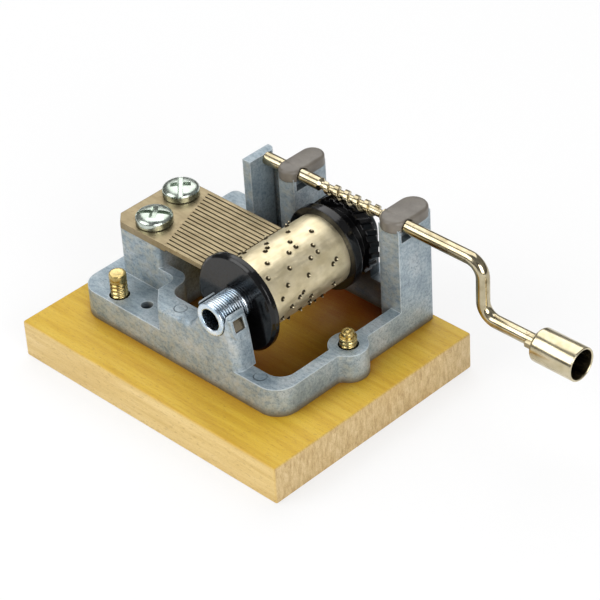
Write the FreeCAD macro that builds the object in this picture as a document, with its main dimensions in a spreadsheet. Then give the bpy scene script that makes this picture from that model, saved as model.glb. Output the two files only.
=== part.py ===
"""Hand-crank music box movement on a wooden base.

Millimetres. X runs along the crank shaft towards the handle, Y along the drum towards the crank
shaft, Z up. The origin is the middle of the underside of the wooden base.
"""
import FreeCAD
import Part
import Sketcher
import math
import os
import re
from FreeCAD import Placement, Rotation, Vector

doc = FreeCAD.newDocument("music_box")

# Driving sizes: name, value, meaning
SIZES = [
    ("board_length", 60.0, "wooden base along X"),
    ("board_width", 46.4, "wooden base along Y"),
    ("board_thick", 7.2, "wooden base height"),
    ("board_ease", 0.4, "eased edges of the board"),
    ("frame_left", -24.8, "left end of the casting"),
    ("frame_right", 22.6, "right face of the casting"),
    ("frame_front", -14.5, "front face of the casting"),
    ("frame_back", 22.8, "back face of the casting"),
    ("frame_corner", 4.0, "front corners of the base ring"),
    ("back_corner", 1.2, "back corners of the base ring and the posts"),
    ("ring_height", 5.4, "height of the base ring"),
    ("rail_right", 2.3, "width of the right rail"),
    ("rail_front", 3.2, "width of the front rail"),
    ("rail_back", 4.2, "width of the back rail"),
    ("opening_corner", 3.0, "corner radius of the opening in the ring"),
    ("boss_y", 2.8, "round lug on the right rail"),
    ("boss_inset", 1.0, "lug centre from the right face"),
    ("boss_radius", 3.4, "round lug radius"),
    ("boss_blend", 1.0, "hollow between lug and rail"),
    ("ear_screw_x", -17.1, "left base screw"),
    ("ear_screw_y", -12.0, "left base screw"),
    ("ear_hole_x", -11.3, "spare hole in the ear"),
    ("ear_hole_y", -11.1, "spare hole in the ear"),
    ("ear_hole_radius", 1.05, "spare hole in the ear"),
    ("pedestal_left", -21.6, "comb pedestal"),
    ("pedestal_right", -11.9, "comb pedestal"),
    ("pedestal_setback", 0.5, "pedestal inside the comb's side edges"),
    ("pedestal_round", 0.8, "vertical edges of the pedestal"),
    ("web_height", 4.8, "web and wall shoulder above the ring"),
    ("web_thick", 1.8, "curved web between pedestal and wall"),
    ("web_inner", -8.0, "ear side of the web where it runs along Y"),
    ("web_bend", 1.5, "inner bend radius of the web"),
    ("web_sweep", 2.6, "outer bends of the web"),
    ("wall_thick", 3.9, "front bearing wall along Y"),
    ("wall_left", -4.6, "left end of the wall's front face"),
    ("wall_slant", 3.4, "slanted left end of the wall"),
    ("wall_right", 13.85, "right end of the wall's foot"),
    ("wall_round", 1.5, "right front edge of the wall"),
    ("shoulder_round", 1.0, "front edge of the wall's shoulder"),
    ("lug_height", 1.6, "bearing lugs above the drum axis"),
    ("lug_thick", 0.35, "bearing lug at its top"),
    ("lug_spread", 2.6, "left lug's foot beyond its top"),
    ("lug_hollow", 5.0, "hollow flank of the left lug"),
    ("flank_rise", 4.6, "straight foot of the right flank"),
    ("flank_lean", 0.7, "lean of the right flank's foot"),
    ("flank_bulge", 20.0, "bulging upper part of the right flank"),
    ("mark_width", 2.4, "staking mark in the right lug"),
    ("mark_height", 2.1, "staking mark in the right lug"),
    ("mark_depth", 0.55, "staking mark in the right lug"),
    ("mark_tilt", 20.0, "staking mark, degrees from upright"),
    ("drum_x", 8.4, "drum axis"),
    ("drum_z", 21.0, "drum axis height"),
    ("drum_radius", 6.4, "pinned cylinder"),
    ("drum_wall", 0.5, "pinned cylinder's wall"),
    ("drum_lead", 0.3, "cylinder in front of the comb's near edge"),
    ("drum_tail", 2.5, "cylinder behind the comb's far edge"),
    ("pin_height", 0.45, "punched pin"),
    ("pin_foot", 0.34, "half width of a punched pin's foot"),
    ("pin_tip", 0.12, "half width of a punched pin's tip"),
    ("pin_clear", 0.15, "comb tip from the pins' path"),
    ("cap_radius", 8.7, "front end disc"),
    ("cap_thick", 1.3, "front end disc"),
    ("cap_bevel", 0.45, "bevel of the front end disc"),
    ("hub_length", 3.0, "hubs inside the cylinder"),
    ("axle_radius", 2.95, "axle and its threaded stub"),
    ("axle_bore", 1.85, "bore of the hollow stub"),
    ("axle_bore_depth", 14.0, "bore of the hollow stub"),
    ("axle_proud", 0.3, "stub in front of the wall"),
    ("axle_chamfer", 0.35, "stub's end chamfer"),
    ("journal_radius", 1.5, "rear journal"),
    ("running_gap", 0.04, "radial gap of every running fit"),
    ("flange_radius", 7.6, "rear flange"),
    ("flange_thick", 1.6, "rear flange"),
    ("neck_radius", 5.6, "neck between flange and wheel"),
    ("wheel_module", 0.71, "worm wheel"),
    ("wheel_teeth", 20, "worm wheel, count"),
    ("wheel_width", 2.2, "worm wheel along Y"),
    ("worm_pitch_radius", 0.9, "worm"),
    ("worm_core", 0.7, "worm thread root"),
    ("worm_turns", 5, "worm thread, count"),
    ("mesh_gap", 0.1, "crest to root, worm and wheel"),
    ("tooth_share", 0.4, "wheel tooth as a share of the pitch"),
    ("thread_share", 0.48, "worm thread as a share of the pitch"),
    ("flank_angle", 20.0, "tooth flank, degrees"),
    ("rear_wall_thick", 2.2, "rear bearing wall"),
    ("rear_wall_radius", 3.4, "rear bearing wall round its hole"),
    ("rear_wall_gap", 0.5, "wheel hub to rear bearing wall"),
    ("comb_front", -7.5, "near edge of the comb"),
    ("comb_back", -22.2, "rear edge of the comb"),
    ("comb_top", 23.5, "comb's top face"),
    ("comb_thick", 1.3, "comb's body"),
    ("comb_teeth", 18, "comb, count"),
    ("comb_pitch", 0.905, "tooth to tooth"),
    ("comb_slit", 0.24, "gap between teeth"),
    ("tooth_thick", 0.9, "comb tooth"),
    ("root_near", -9.6, "root of the nearest tooth"),
    ("root_far", -15.4, "root of the farthest tooth"),
    ("comb_near_cut", 1.8, "cut near corner"),
    ("comb_far_cut", 3.4, "cut far corner"),
    ("near_screw_x", -16.0, "near comb screw"),
    ("near_screw_y", -3.7, "near comb screw"),
    ("far_screw_x", -18.6, "far comb screw"),
    ("far_screw_y", 4.9, "far comb screw"),
    ("comb_head_radius", 3.2, "comb screw head"),
    ("comb_head_height", 2.0, "comb screw head"),
    ("comb_head_dome", 0.9, "comb screw head's domed rim"),
    ("comb_screw_depth", 6.0, "comb screw in the pedestal"),
    ("screw_radius", 1.5, "all screws"),
    ("screw_gap", 0.05, "screw shank in a tapped hole"),
    ("screw_play", 0.25, "screw shank in a plain hole"),
    ("base_head_radius", 2.75, "base screw head"),
    ("base_head_height", 2.0, "base screw head"),
    ("base_head_sink", 0.6, "base screw head above the underside"),
    ("left_proud", 4.5, "left screw tip above the ring"),
    ("left_chamfer", 0.3, "left screw tip"),
    ("right_proud", 2.6, "right screw tip above the ring"),
    ("dog_length", 0.9, "narrow tip of the right screw"),
    ("dog_radius", 1.1, "narrow tip of the right screw"),
    ("dimple_depth", 0.5, "dimple in the right screw's tip"),
    ("shaft_y", 16.3, "crank shaft axis"),
    ("shaft_radius", 1.15, "crank shaft"),
    ("stop_gap", 0.05, "shaft end to the stop wall"),
    ("stop_left", -10.8, "stop wall at the shaft's end"),
    ("stop_right", -9.0, "stop wall at the shaft's end"),
    ("stop_front", 12.3, "stop wall at the shaft's end"),
    ("stop_back", 18.4, "stop wall at the shaft's end"),
    ("stop_rise", 1.0, "stop wall above the shaft axis"),
    ("tower_step", 0.4, "ring floor in front of the stop wall"),
    ("left_post_left", -4.5, "left shaft post"),
    ("left_post_right", -1.0, "left shaft post"),
    ("right_post_thick", 4.4, "right shaft post along X"),
    ("post_front", 14.4, "front of both posts"),
    ("post_drop", 0.2, "post tops below the shaft axis"),
    ("relief_depth", 1.4, "hollow under the shaft in each post"),
    ("relief_drop", 2.8, "hollow's floor below the shaft axis"),
    ("relief_width", 2.5, "hollow along Y"),
    ("shaft_cap_rise", 2.1, "cap's top above the shaft axis"),
    ("shaft_cap_bevel", 0.7, "cap's bevelled upper edges"),
    ("shaft_cap_inset", 0.1, "cap inside its post's sides"),
    ("peg_radius", 0.9, "cap's locating peg"),
    ("peg_length", 2.5, "cap's locating peg"),
    ("arm_x", 38.8, "crank arm"),
    ("arm_drop", 10.0, "crank arm length"),
    ("arm_bend", 2.8, "centre line radius of the crank's bends"),
    ("knob_start", 50.4, "knob's closed end"),
    ("knob_length", 8.5, "knob"),
    ("knob_radius", 2.95, "knob"),
    ("knob_bevel", 0.45, "knob's bevelled closed end"),
    ("knob_wall", 0.4, "knob's cup wall"),
    ("knob_floor", 2.4, "knob's floor"),
    ("knob_gap", 0.12, "end play of the knob"),
    ("wing_length", 1.6, "crimped wings behind the knob"),
    ("wing_span", 3.4, "crimped wings across"),
    ("wing_thick", 0.9, "crimped wings"),
    ("rivet_radius", 1.6, "peened end of the handle pin"),
    ("rivet_height", 0.7, "peened end of the handle pin"),
]

# Places that follow from the driving sizes
DERIVED = {
    "ring_top": "board_thick + ring_height",
    "web_top": "ring_top + web_height",
    "wall_back": "frame_front + wall_thick",
    "boss_x": "frame_right - boss_inset",
    "comb_far": "comb_front + comb_teeth * comb_pitch - comb_slit",
    "comb_seat": "comb_top - comb_thick",
    "pedestal_front": "comb_front + pedestal_setback",
    "pedestal_far": "comb_far - pedestal_setback",
    "comb_tip_reach": "sqrt((drum_radius + pin_height + pin_clear)^2 - (comb_top - tooth_thick - drum_z)^2)",
    "comb_tip": "drum_x - comb_tip_reach",
    "drum_front": "comb_front - drum_lead",
    "drum_back": "comb_far + drum_tail",
    "wheel_radius": "wheel_module * wheel_teeth / 2",
    "worm_pitch": "wheel_module * pi",
    "shaft_z": "drum_z + wheel_radius + worm_pitch_radius",
    "wheel_tip": "wheel_radius + worm_pitch_radius - worm_core - mesh_gap",
    "wheel_root": "wheel_radius + worm_pitch_radius - shaft_radius - mesh_gap",
    "wheel_front": "shaft_y - wheel_width / 2",
    "wheel_back": "shaft_y + wheel_width / 2",
    "worm_start": "drum_x - worm_pitch * 1.5",
    "rear_wall_front": "frame_back - rail_back",
    "rear_wall_back": "rear_wall_front + rear_wall_thick",
    "right_post_left": "frame_right - right_post_thick",
    "post_top": "shaft_z - post_drop",
    "stop_top": "shaft_z + stop_rise",
    "peg_y": "shaft_y + shaft_radius + peg_radius * 2",
    "handle_z": "shaft_z - arm_drop",
    "rivet_start": "knob_start + knob_floor + knob_gap",
}

sheet = doc.addObject("Spreadsheet::Sheet", "Sizes")
for row, (alias, value, meaning) in enumerate(SIZES, start=1):
    sheet.set(f"A{row}", alias)
    sheet.set(f"B{row}", str(value))
    sheet.setAlias(f"B{row}", alias)
    sheet.set(f"C{row}", meaning)
doc.recompute()
ALIASES = {alias for alias, value, meaning in SIZES}


def bound(expression):
    """Write an expression of size names as one that any object of the document can hold."""
    def full_name(match):
        word = match.group(0)
        if word in DERIVED:
            return "(" + bound(DERIVED[word]) + ")"
        return "Sizes." + word if word in ALIASES else word
    return re.sub(r"[a-z][a-z_]*", full_name, expression)


def size(expression):
    """Work out an expression of size names."""
    return float(sheet.evalExpression(bound(expression)))


def new_body(name, x="0", y="0", z="0", rotation=None):
    """Start a piece whose own origin stands at the given place."""
    body = doc.addObject("PartDesign::Body", name)
    body.Label = name
    if rotation:
        body.Placement = Placement(Vector(), rotation)
    for axis, expression in (("x", x), ("y", y), ("z", z)):
        body.setExpression("Placement.Base." + axis, bound(expression))
    return body


def origin_part(body, role):
    return next(part for part in body.Origin.OriginFeatures if part.Role == role)


def new_sketch(body, role, name, offset="0", turn="0"):
    """Lay a sketch on one of the piece's own planes, shifted along its normal."""
    sketch = body.newObject("Sketcher::SketchObject", name)
    sketch.AttachmentSupport = [(origin_part(body, role), "")]
    sketch.MapMode = "FlatFace"
    sketch.setExpression("AttachmentOffset.Base.z", bound(offset))
    sketch.setExpression("AttachmentOffset.Rotation.Angle", bound(turn))
    return sketch


def pin_point(sketch, curve, point, x, y):
    """Hold a point of a sketch at two expressions."""
    for kind, expression in (("DistanceX", x), ("DistanceY", y)):
        place = sketch.addConstraint(Sketcher.Constraint(kind, -1, 1, curve, point, size(expression)))
        sketch.setExpression(f"Constraints[{place}]", bound(expression))


def pin_radius(sketch, curve, radius):
    place = sketch.addConstraint(Sketcher.Constraint("Radius", curve, size(radius)))
    sketch.setExpression(f"Constraints[{place}]", bound(radius))


def arc_between(start, end, radius, left):
    """Make the arc from start to end whose centre lies left or right of the way there."""
    half = (end - start) / 2
    across = Vector(-half.y, half.x, 0).normalize() * (1 if left else -1)
    centre = start + half + across * math.sqrt(radius ** 2 - half.Length ** 2)
    ends = (start, end) if left else (end, start)
    angles = [math.atan2(spot.y - centre.y, spot.x - centre.x) for spot in ends]
    return Part.ArcOfCircle(Part.Circle(centre, Vector(0, 0, 1), radius), *angles)


def draw_outline(sketch, points, closed=True):
    """Draw lines through points given as expressions.

    A point with a radius and a side after it starts an arc: its centre is on that side of the way.
    """
    corners = [Vector(size(point[0]), size(point[1]), 0) for point in points]
    count = len(points) if closed else len(points) - 1
    first = sketch.GeometryCount
    heads, tails = [], []
    for index in range(count):
        start, end = corners[index], corners[(index + 1) % len(points)]
        left = True
        if len(points[index]) == 2:
            sketch.addGeometry(Part.LineSegment(start, end))
        else:
            left = points[index][3] == "left"
            sketch.addGeometry(arc_between(start, end, size(points[index][2]), left))
        heads.append(1 if left else 2)
        tails.append(2 if left else 1)
    for index in range(count if closed else count - 1):
        following = (index + 1) % count
        joint = (first + index, tails[index], first + following, heads[following])
        sketch.addConstraint(Sketcher.Constraint("Coincident", *joint))
    for index in range(count):
        pin_point(sketch, first + index, heads[index], *points[index][:2])
        if len(points[index]) > 2:
            pin_radius(sketch, first + index, points[index][2])
    if not closed:
        pin_point(sketch, first + count - 1, tails[-1], *points[-1][:2])


def draw_box(sketch, x0, x1, y0, y1):
    draw_outline(sketch, [(x0, y0), (x1, y0), (x1, y1), (x0, y1)])


def draw_circle(sketch, x, y, radius):
    curve = sketch.addGeometry(Part.Circle(Vector(size(x), size(y), 0), Vector(0, 0, 1), size(radius)))
    pin_point(sketch, curve, 3, x, y)
    pin_radius(sketch, curve, radius)


def add_pad(body, sketch, length, reverse=False):
    pad = body.newObject("PartDesign::Pad", sketch.Name + "_pad")
    pad.Profile = sketch
    pad.Reversed = reverse
    pad.setExpression("Length", bound(length))
    doc.recompute()
    return pad


def cut_pocket(body, sketch, depth, reverse=False):
    """Cut a sketch into the piece and make sure that it took something away."""
    before = body.Shape.Volume
    pocket = body.newObject("PartDesign::Pocket", sketch.Name + "_pocket")
    pocket.Profile = sketch
    pocket.Reversed = reverse
    pocket.setExpression("Length", bound(depth))
    doc.recompute()
    if body.Shape.Volume >= before:
        raise RuntimeError(sketch.Name + " cuts nothing")
    return pocket


def revolve(body, sketch, role, kind="PartDesign::Revolution"):
    turned = body.newObject(kind, sketch.Name + "_turned")
    turned.Profile = sketch
    turned.ReferenceAxis = (origin_part(body, role), [""])
    turned.Angle = 360
    doc.recompute()
    return turned


def edge_names(shape, wanted):
    return [f"Edge{index}" for index, edge in enumerate(shape.Edges, start=1) if wanted(edge)]


def upright_at(places):
    """Pick upright edges that stand at the given places."""
    spots = [(size(x), size(y)) for x, y in places]

    def wanted(edge):
        start, end = edge.Vertexes[0].Point, edge.Vertexes[-1].Point
        upright = abs(start.x - end.x) < 1e-6 and abs(start.y - end.y) < 1e-6
        return upright and any(math.hypot(start.x - x, start.y - y) < 1e-4 for x, y in spots)
    return wanted


def front_edges(left, right, floor):
    """Pick edges of the casting's front face between two places along X and above a floor."""
    x0, x1, y, z = size(left), size(right), size("frame_front"), size(floor)
    slack = 1e-3

    def wanted(edge):
        box = edge.BoundBox
        in_front = abs(box.YMin - y) < slack and abs(box.YMax - y) < slack
        return in_front and box.XMin > x0 - slack and box.XMax < x1 + slack and box.ZMin > z - slack
    return wanted


def dress_edges(body, base, wanted, kind, width_name, width, name):
    """Take the sharpness off the wanted edges of a piece."""
    names = edge_names(base.Shape, wanted)
    if not names:
        raise RuntimeError(name + " finds no edge")
    dressed = body.newObject("PartDesign::" + kind, name)
    dressed.Base = (base, names)
    dressed.setExpression(width_name, bound(width))
    doc.recompute()
    if dressed.Shape.isNull():
        raise RuntimeError(name + " fails")
    return dressed


def round_edges(body, base, wanted, radius, name):
    return dress_edges(body, base, wanted, "Fillet", "Radius", radius, name)


def bevel_edges(body, base, wanted, width, name):
    return dress_edges(body, base, wanted, "Chamfer", "Size", width, name)


def make_wood_base():
    body = new_body("wood_base")
    outline = new_sketch(body, "XY_Plane", "board_outline")
    draw_box(outline, "-board_length / 2", "board_length / 2", "-board_width / 2", "board_width / 2")
    slab = add_pad(body, outline, "board_thick")
    bevel_edges(body, slab, lambda edge: True, "board_ease", "board_edges")
    shanks = new_sketch(body, "XY_Plane", "board_shank_holes")
    sinks = new_sketch(body, "XY_Plane", "board_head_sinks")
    for x, y in (("ear_screw_x", "ear_screw_y"), ("boss_x", "boss_y")):
        draw_circle(shanks, x, y, "screw_radius + screw_play")
        draw_circle(sinks, x, y, "base_head_radius + screw_play")
    cut_pocket(body, shanks, "board_thick", reverse=True)
    cut_pocket(body, sinks, "base_head_sink + base_head_height", reverse=True)
    return body


def make_ring(body):
    """Base ring: a plate with rounded corners, its opening and the lug on its right rail."""
    outline = new_sketch(body, "XY_Plane", "ring_outline", "board_thick")
    draw_box(outline, "frame_left", "frame_right", "frame_front", "frame_back")
    plate = add_pad(body, outline, "ring_height")
    for side, radius in (("front", "frame_corner"), ("back", "back_corner")):
        corners = [(x, "frame_" + side) for x in ("frame_left", "frame_right")]
        plate = round_edges(body, plate, upright_at(corners), radius, f"ring_{side}_corners")
    boss = new_sketch(body, "XY_Plane", "ring_boss", "board_thick")
    draw_circle(boss, "boss_x", "boss_y", "boss_radius")
    plate = add_pad(body, boss, "ring_height")
    reach = "sqrt(boss_radius^2 - boss_inset^2)"
    joins = [("frame_right", f"boss_y {sign} {reach}") for sign in "+-"]
    round_edges(body, plate, upright_at(joins), "boss_blend", "boss_blends")

    opening = new_sketch(body, "XY_Plane", "ring_opening", "ring_top")
    near = "frame_front + rail_front"
    right = "frame_right - rail_right"
    tower = "stop_front - tower_step"
    web = "web_inner + web_thick / 2"
    web_back = "pedestal_front + web_thick / 2"
    draw_outline(opening, [
        (web, near), (right, near), (right, "post_front"), ("right_post_left", "post_front"),
        ("right_post_left", "rear_wall_front"), ("left_post_right", "rear_wall_front"),
        ("left_post_right", tower), ("pedestal_right", tower), ("pedestal_right", web_back), (web, web_back),
    ])
    hole = cut_pocket(body, opening, "ring_height")
    corners = upright_at([(right, near), ("pedestal_right", tower)])
    round_edges(body, hole, corners, "opening_corner", "opening_corners")
    lug = new_sketch(body, "XY_Plane", "ring_boss_inside", "board_thick")
    draw_circle(lug, "boss_x", "boss_y", "boss_radius")
    add_pad(body, lug, "ring_height")


def make_pedestal(body):
    """Block under the comb."""
    outline = new_sketch(body, "XY_Plane", "pedestal_outline", "ring_top")
    draw_box(outline, "pedestal_left", "pedestal_right", "pedestal_front", "pedestal_far")
    block = add_pad(body, outline, "comb_seat - ring_top")
    sides = ("pedestal_front", "pedestal_far")
    corners = [(x, y) for x in ("pedestal_left", "pedestal_right") for y in sides]
    round_edges(body, block, upright_at(corners), "pedestal_round", "pedestal_corners")


def make_front_wall(body):
    """Curved web from the pedestal, the wall's shoulder and the open bearing between its two lugs."""
    plan = new_sketch(body, "XY_Plane", "wall_plan", "board_thick")
    web_outer = "web_inner + web_thick"
    web_back = "pedestal_front + web_thick"
    draw_outline(plan, [
        ("pedestal_right - web_thick", "pedestal_front"), ("web_inner", "pedestal_front"),
        ("web_inner", "frame_front + wall_slant"), ("wall_left", "frame_front"),
        ("drum_x", "frame_front"), ("drum_x", "wall_back"), (web_outer, "wall_back"),
        (web_outer, web_back), ("pedestal_right - web_thick", web_back),
    ])
    shoulder = add_pad(body, plan, "ring_height + web_height")
    bends = (
        ("web_inner_bend", "web_inner", "pedestal_front", "web_bend"),
        ("web_foot_bend", web_outer, "wall_back", "web_sweep"),
        ("web_outer_bend", web_outer, web_back, "web_sweep"),
    )
    for name, x, y, radius in bends:
        shoulder = round_edges(body, shoulder, upright_at([(x, y)]), radius, name)

    seat = "axle_radius + running_gap"
    lug_top = "drum_z + lug_height"
    lug_foot = f"drum_x - ({seat}) - lug_thick - lug_spread"
    side = new_sketch(body, "XZ_Plane", "bearing_side", "-frame_front")
    draw_outline(side, [
        (lug_foot, "ring_top"), ("wall_right", "ring_top"),
        ("wall_right - flank_lean", "ring_top + flank_rise", "flank_bulge", "left"),
        (f"drum_x + {seat} + lug_thick", lug_top),
        (f"drum_x - ({seat}) - lug_thick", lug_top, "lug_hollow", "right"), (lug_foot, "web_top"),
    ])
    bearing = add_pad(body, side, "wall_thick", reverse=True)
    flank = front_edges(f"drum_x + {seat}", "wall_right", "ring_top")
    bearing = round_edges(body, bearing, flank, "wall_round", "wall_edge")
    ramp = front_edges("wall_left", "drum_x", "web_top")
    round_edges(body, bearing, lambda edge: ramp(edge) and edge.BoundBox.ZMin < size("drum_z"),
                "shoulder_round", "shoulder_edge")
    trough = new_sketch(body, "XZ_Plane", "bearing_trough", "-frame_front")
    draw_circle(trough, "drum_x", "drum_z", seat)
    cut_pocket(body, trough, "wall_thick")
    mouth = new_sketch(body, "XZ_Plane", "bearing_mouth", "-frame_front")
    draw_box(mouth, f"drum_x - ({seat})", f"drum_x + {seat}", "drum_z", "drum_z + lug_height * 2")
    cut_pocket(body, mouth, "wall_thick")

    mark = body.newObject("PartDesign::SubtractiveBox", "staking_mark")
    mark.AttachmentOffset = Placement(Vector(), Rotation(Vector(0, 1, 0), -size("mark_tilt")))
    mark.setExpression("Length", bound("mark_depth * 2"))
    mark.setExpression("Width", bound("mark_width"))
    mark.setExpression("Height", bound("mark_height"))
    mark.setExpression("AttachmentOffset.Base.x", bound(f"drum_x + {seat} + lug_thick + mark_depth / 4"))
    mark.setExpression("AttachmentOffset.Base.y", bound("frame_front + (wall_thick - mark_width) / 2"))
    mark.setExpression("AttachmentOffset.Base.z", bound(f"{lug_top} - mark_height - mark_depth"))
    doc.recompute()


def make_posts(body):
    """Stop wall, the two shaft posts with their seats, and the rear bearing wall."""
    posts = (
        ("stop_wall", "stop_left", "stop_right", "stop_front", "stop_back", "stop_top"),
        ("left_post", "left_post_left", "left_post_right", "post_front", "frame_back", "post_top"),
        ("right_post", "right_post_left", "frame_right", "post_front", "frame_back", "post_top"),
    )
    for name, left, right, front, back, top in posts:
        plan = new_sketch(body, "XY_Plane", name, "board_thick")
        draw_box(plan, left, right, front, back)
        block = add_pad(body, plan, f"{top} - board_thick")
        round_edges(body, block, upright_at([(right, back)]), "back_corner", name + "_corner")
    for name, left, right in (("left", "left_post_left", "left_post_right"),
                              ("right", "right_post_left", "frame_right")):
        seat = new_sketch(body, "YZ_Plane", name + "_post_seat", right)
        draw_circle(seat, "shaft_y", "shaft_z", "shaft_radius + running_gap")
        cut_pocket(body, seat, f"{right} - ({left})")
        relief = new_sketch(body, "YZ_Plane", name + "_post_relief", right)
        half = "relief_width / 2"
        draw_box(relief, f"shaft_y - {half}", f"shaft_y + {half}", "shaft_z - relief_drop", "post_top")
        cut_pocket(body, relief, "relief_depth")
        peg = new_sketch(body, "XY_Plane", name + "_peg_hole", "post_top")
        draw_circle(peg, f"({left} + {right}) / 2", "peg_y", "peg_radius + screw_gap")
        cut_pocket(body, peg, "peg_length + screw_gap")

    rear = new_sketch(body, "XZ_Plane", "rear_wall", "-(rear_wall_front)")
    draw_box(rear, "drum_x - rear_wall_radius", "drum_x + rear_wall_radius", "ring_top", "drum_z")
    add_pad(body, rear, "rear_wall_thick", reverse=True)
    crown = new_sketch(body, "XZ_Plane", "rear_crown", "-(rear_wall_front)")
    draw_circle(crown, "drum_x", "drum_z", "rear_wall_radius")
    add_pad(body, crown, "rear_wall_thick", reverse=True)
    bore = new_sketch(body, "XZ_Plane", "rear_bore", "-(rear_wall_front)")
    draw_circle(bore, "drum_x", "drum_z", "journal_radius + running_gap")
    cut_pocket(body, bore, "rear_wall_thick")


def make_frame_holes(body):
    holes = new_sketch(body, "XY_Plane", "ring_holes", "ring_top")
    for x, y in (("ear_screw_x", "ear_screw_y"), ("boss_x", "boss_y")):
        draw_circle(holes, x, y, "screw_radius + screw_play")
    draw_circle(holes, "ear_hole_x", "ear_hole_y", "ear_hole_radius")
    cut_pocket(body, holes, "ring_height")
    tapped = new_sketch(body, "XY_Plane", "comb_screw_holes", "comb_seat")
    for x, y in (("near_screw_x", "near_screw_y"), ("far_screw_x", "far_screw_y")):
        draw_circle(tapped, x, y, "screw_radius + screw_gap")
    cut_pocket(body, tapped, "comb_screw_depth + screw_gap")


def make_cast_frame():
    body = new_body("cast_frame")
    make_ring(body)
    make_pedestal(body)
    make_front_wall(body)
    make_posts(body)
    make_frame_holes(body)
    return body


def make_comb():
    """Steel plate with a slanted root line and teeth that shorten towards the near side."""
    body = new_body("comb")
    plate = new_sketch(body, "XY_Plane", "comb_plate", "comb_seat")
    draw_outline(plate, [
        ("comb_back + comb_near_cut", "comb_front"), ("root_near", "comb_front"), ("root_far", "comb_far"),
        ("comb_back + comb_far_cut", "comb_far"), ("comb_back", "comb_far - comb_far_cut"),
        ("comb_back", "comb_front + comb_near_cut"),
    ])
    add_pad(body, plate, "comb_thick")
    tooth = new_sketch(body, "XY_Plane", "comb_tooth", "comb_top")
    draw_box(tooth, "root_far - comb_pitch", "comb_tip", "comb_front", "comb_front + comb_pitch - comb_slit")
    tine = add_pad(body, tooth, "tooth_thick", reverse=True)
    row = body.newObject("PartDesign::LinearPattern", "comb_row")
    row.Originals = [tine]
    row.Direction = (origin_part(body, "Y_Axis"), [""])
    row.setExpression("Length", bound("comb_pitch * (comb_teeth - 1)"))
    row.setExpression("Occurrences", bound("comb_teeth"))
    body.Tip = row
    doc.recompute()
    holes = new_sketch(body, "XY_Plane", "comb_holes", "comb_top")
    for x, y in (("near_screw_x", "near_screw_y"), ("far_screw_x", "far_screw_y")):
        draw_circle(holes, x, y, "screw_radius + screw_play")
    cut_pocket(body, holes, "comb_thick")
    return body


def make_comb_screw(name, x, y):
    """Pan head screw standing on the comb."""
    body = new_body(name, x, y, "comb_top")
    side = new_sketch(body, "XZ_Plane", name + "_side")
    draw_outline(side, [
        ("0", "-(comb_screw_depth + comb_thick)"), ("screw_radius", "-(comb_screw_depth + comb_thick)"),
        ("screw_radius", "0"), ("comb_head_radius", "0"),
        ("comb_head_radius", "comb_head_height - comb_head_dome"),
        ("comb_head_radius - comb_head_dome * 0.3", "comb_head_height - comb_head_dome * 0.3"),
        ("comb_head_radius - comb_head_dome", "comb_head_height"), ("0", "comb_head_height"),
    ])
    revolve(body, side, "Z_Axis")
    return body


def make_base_screw(name, x, y, tip_outline):
    """Screw from below, with its head in the board and its tip above the ring."""
    body = new_body(name, x, y)
    side = new_sketch(body, "XZ_Plane", name + "_side")
    head_top = "base_head_sink + base_head_height"
    draw_outline(side, [
        ("0", "base_head_sink"), ("base_head_radius", "base_head_sink"), ("base_head_radius", head_top),
        ("screw_radius", head_top), *tip_outline,
    ])
    revolve(body, side, "Z_Axis")
    return body


def make_base_screws():
    left_tip = "ring_top + left_proud"
    right_tip = "ring_top + right_proud"
    left = make_base_screw("base_screw_left", "ear_screw_x", "ear_screw_y", [
        ("screw_radius", f"{left_tip} - left_chamfer"),
        ("screw_radius - left_chamfer", left_tip), ("0", left_tip),
    ])
    right = make_base_screw("base_screw_right", "boss_x", "boss_y", [
        ("screw_radius", f"{right_tip} - dog_length"), ("dog_radius", f"{right_tip} - dog_length"),
        ("dog_radius", right_tip), ("dog_radius / 2", right_tip), ("0", f"{right_tip} - dimple_depth"),
    ])
    return [left, right]


def make_shaft_cap(name, left, right):
    """Moulded cap with rounded ends, a groove over the shaft and a peg in the post."""
    body = new_body(name)
    plan = new_sketch(body, "XY_Plane", name + "_plan", "post_top")
    x0, x1 = f"{left} + shaft_cap_inset", f"{right} - shaft_cap_inset"
    y0, y1 = "post_front + shaft_cap_inset", "frame_back - shaft_cap_inset"
    draw_box(plan, x0, x1, y0, y1)
    block = add_pad(body, plan, "post_drop + shaft_cap_rise")
    corners = upright_at([(x, y) for x in (x0, x1) for y in (y0, y1)])
    end_radius = f"({right} - ({left})) / 2 - shaft_cap_inset * 2"
    pill = round_edges(body, block, corners, end_radius, name + "_ends")

    def rim(edge):
        return edge.BoundBox.ZMin > size("shaft_z + shaft_cap_rise") - 1e-6

    bevel_edges(body, pill, rim, "shaft_cap_bevel", name + "_rim")
    peg = new_sketch(body, "XY_Plane", name + "_peg", "post_top")
    draw_circle(peg, f"({left} + {right}) / 2", "peg_y", "peg_radius")
    add_pad(body, peg, "peg_length", reverse=True)
    groove = new_sketch(body, "YZ_Plane", name + "_groove", right)
    draw_circle(groove, "shaft_y", "shaft_z", "shaft_radius + running_gap")
    cut_pocket(body, groove, f"{right} - ({left})")
    return body


# Pieces that turn about the drum axis have their own Z along it, which lies along Y in the whole
DRUM_TURN = Rotation(Vector(1, 0, 0), -90)


def pin_places():
    """Tracks and angles of the punched pins: a run of broken chords round the drum, made up here."""
    beats = 60
    for beat in range(beats):
        for voice in range(1 + (beat % 4 == 0)):
            track = (5 * beat + 7 * voice + beat // 3) % int(size("comb_teeth"))
            yield track, 360.0 * beat / beats + 2.0 * (track % 3)


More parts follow.
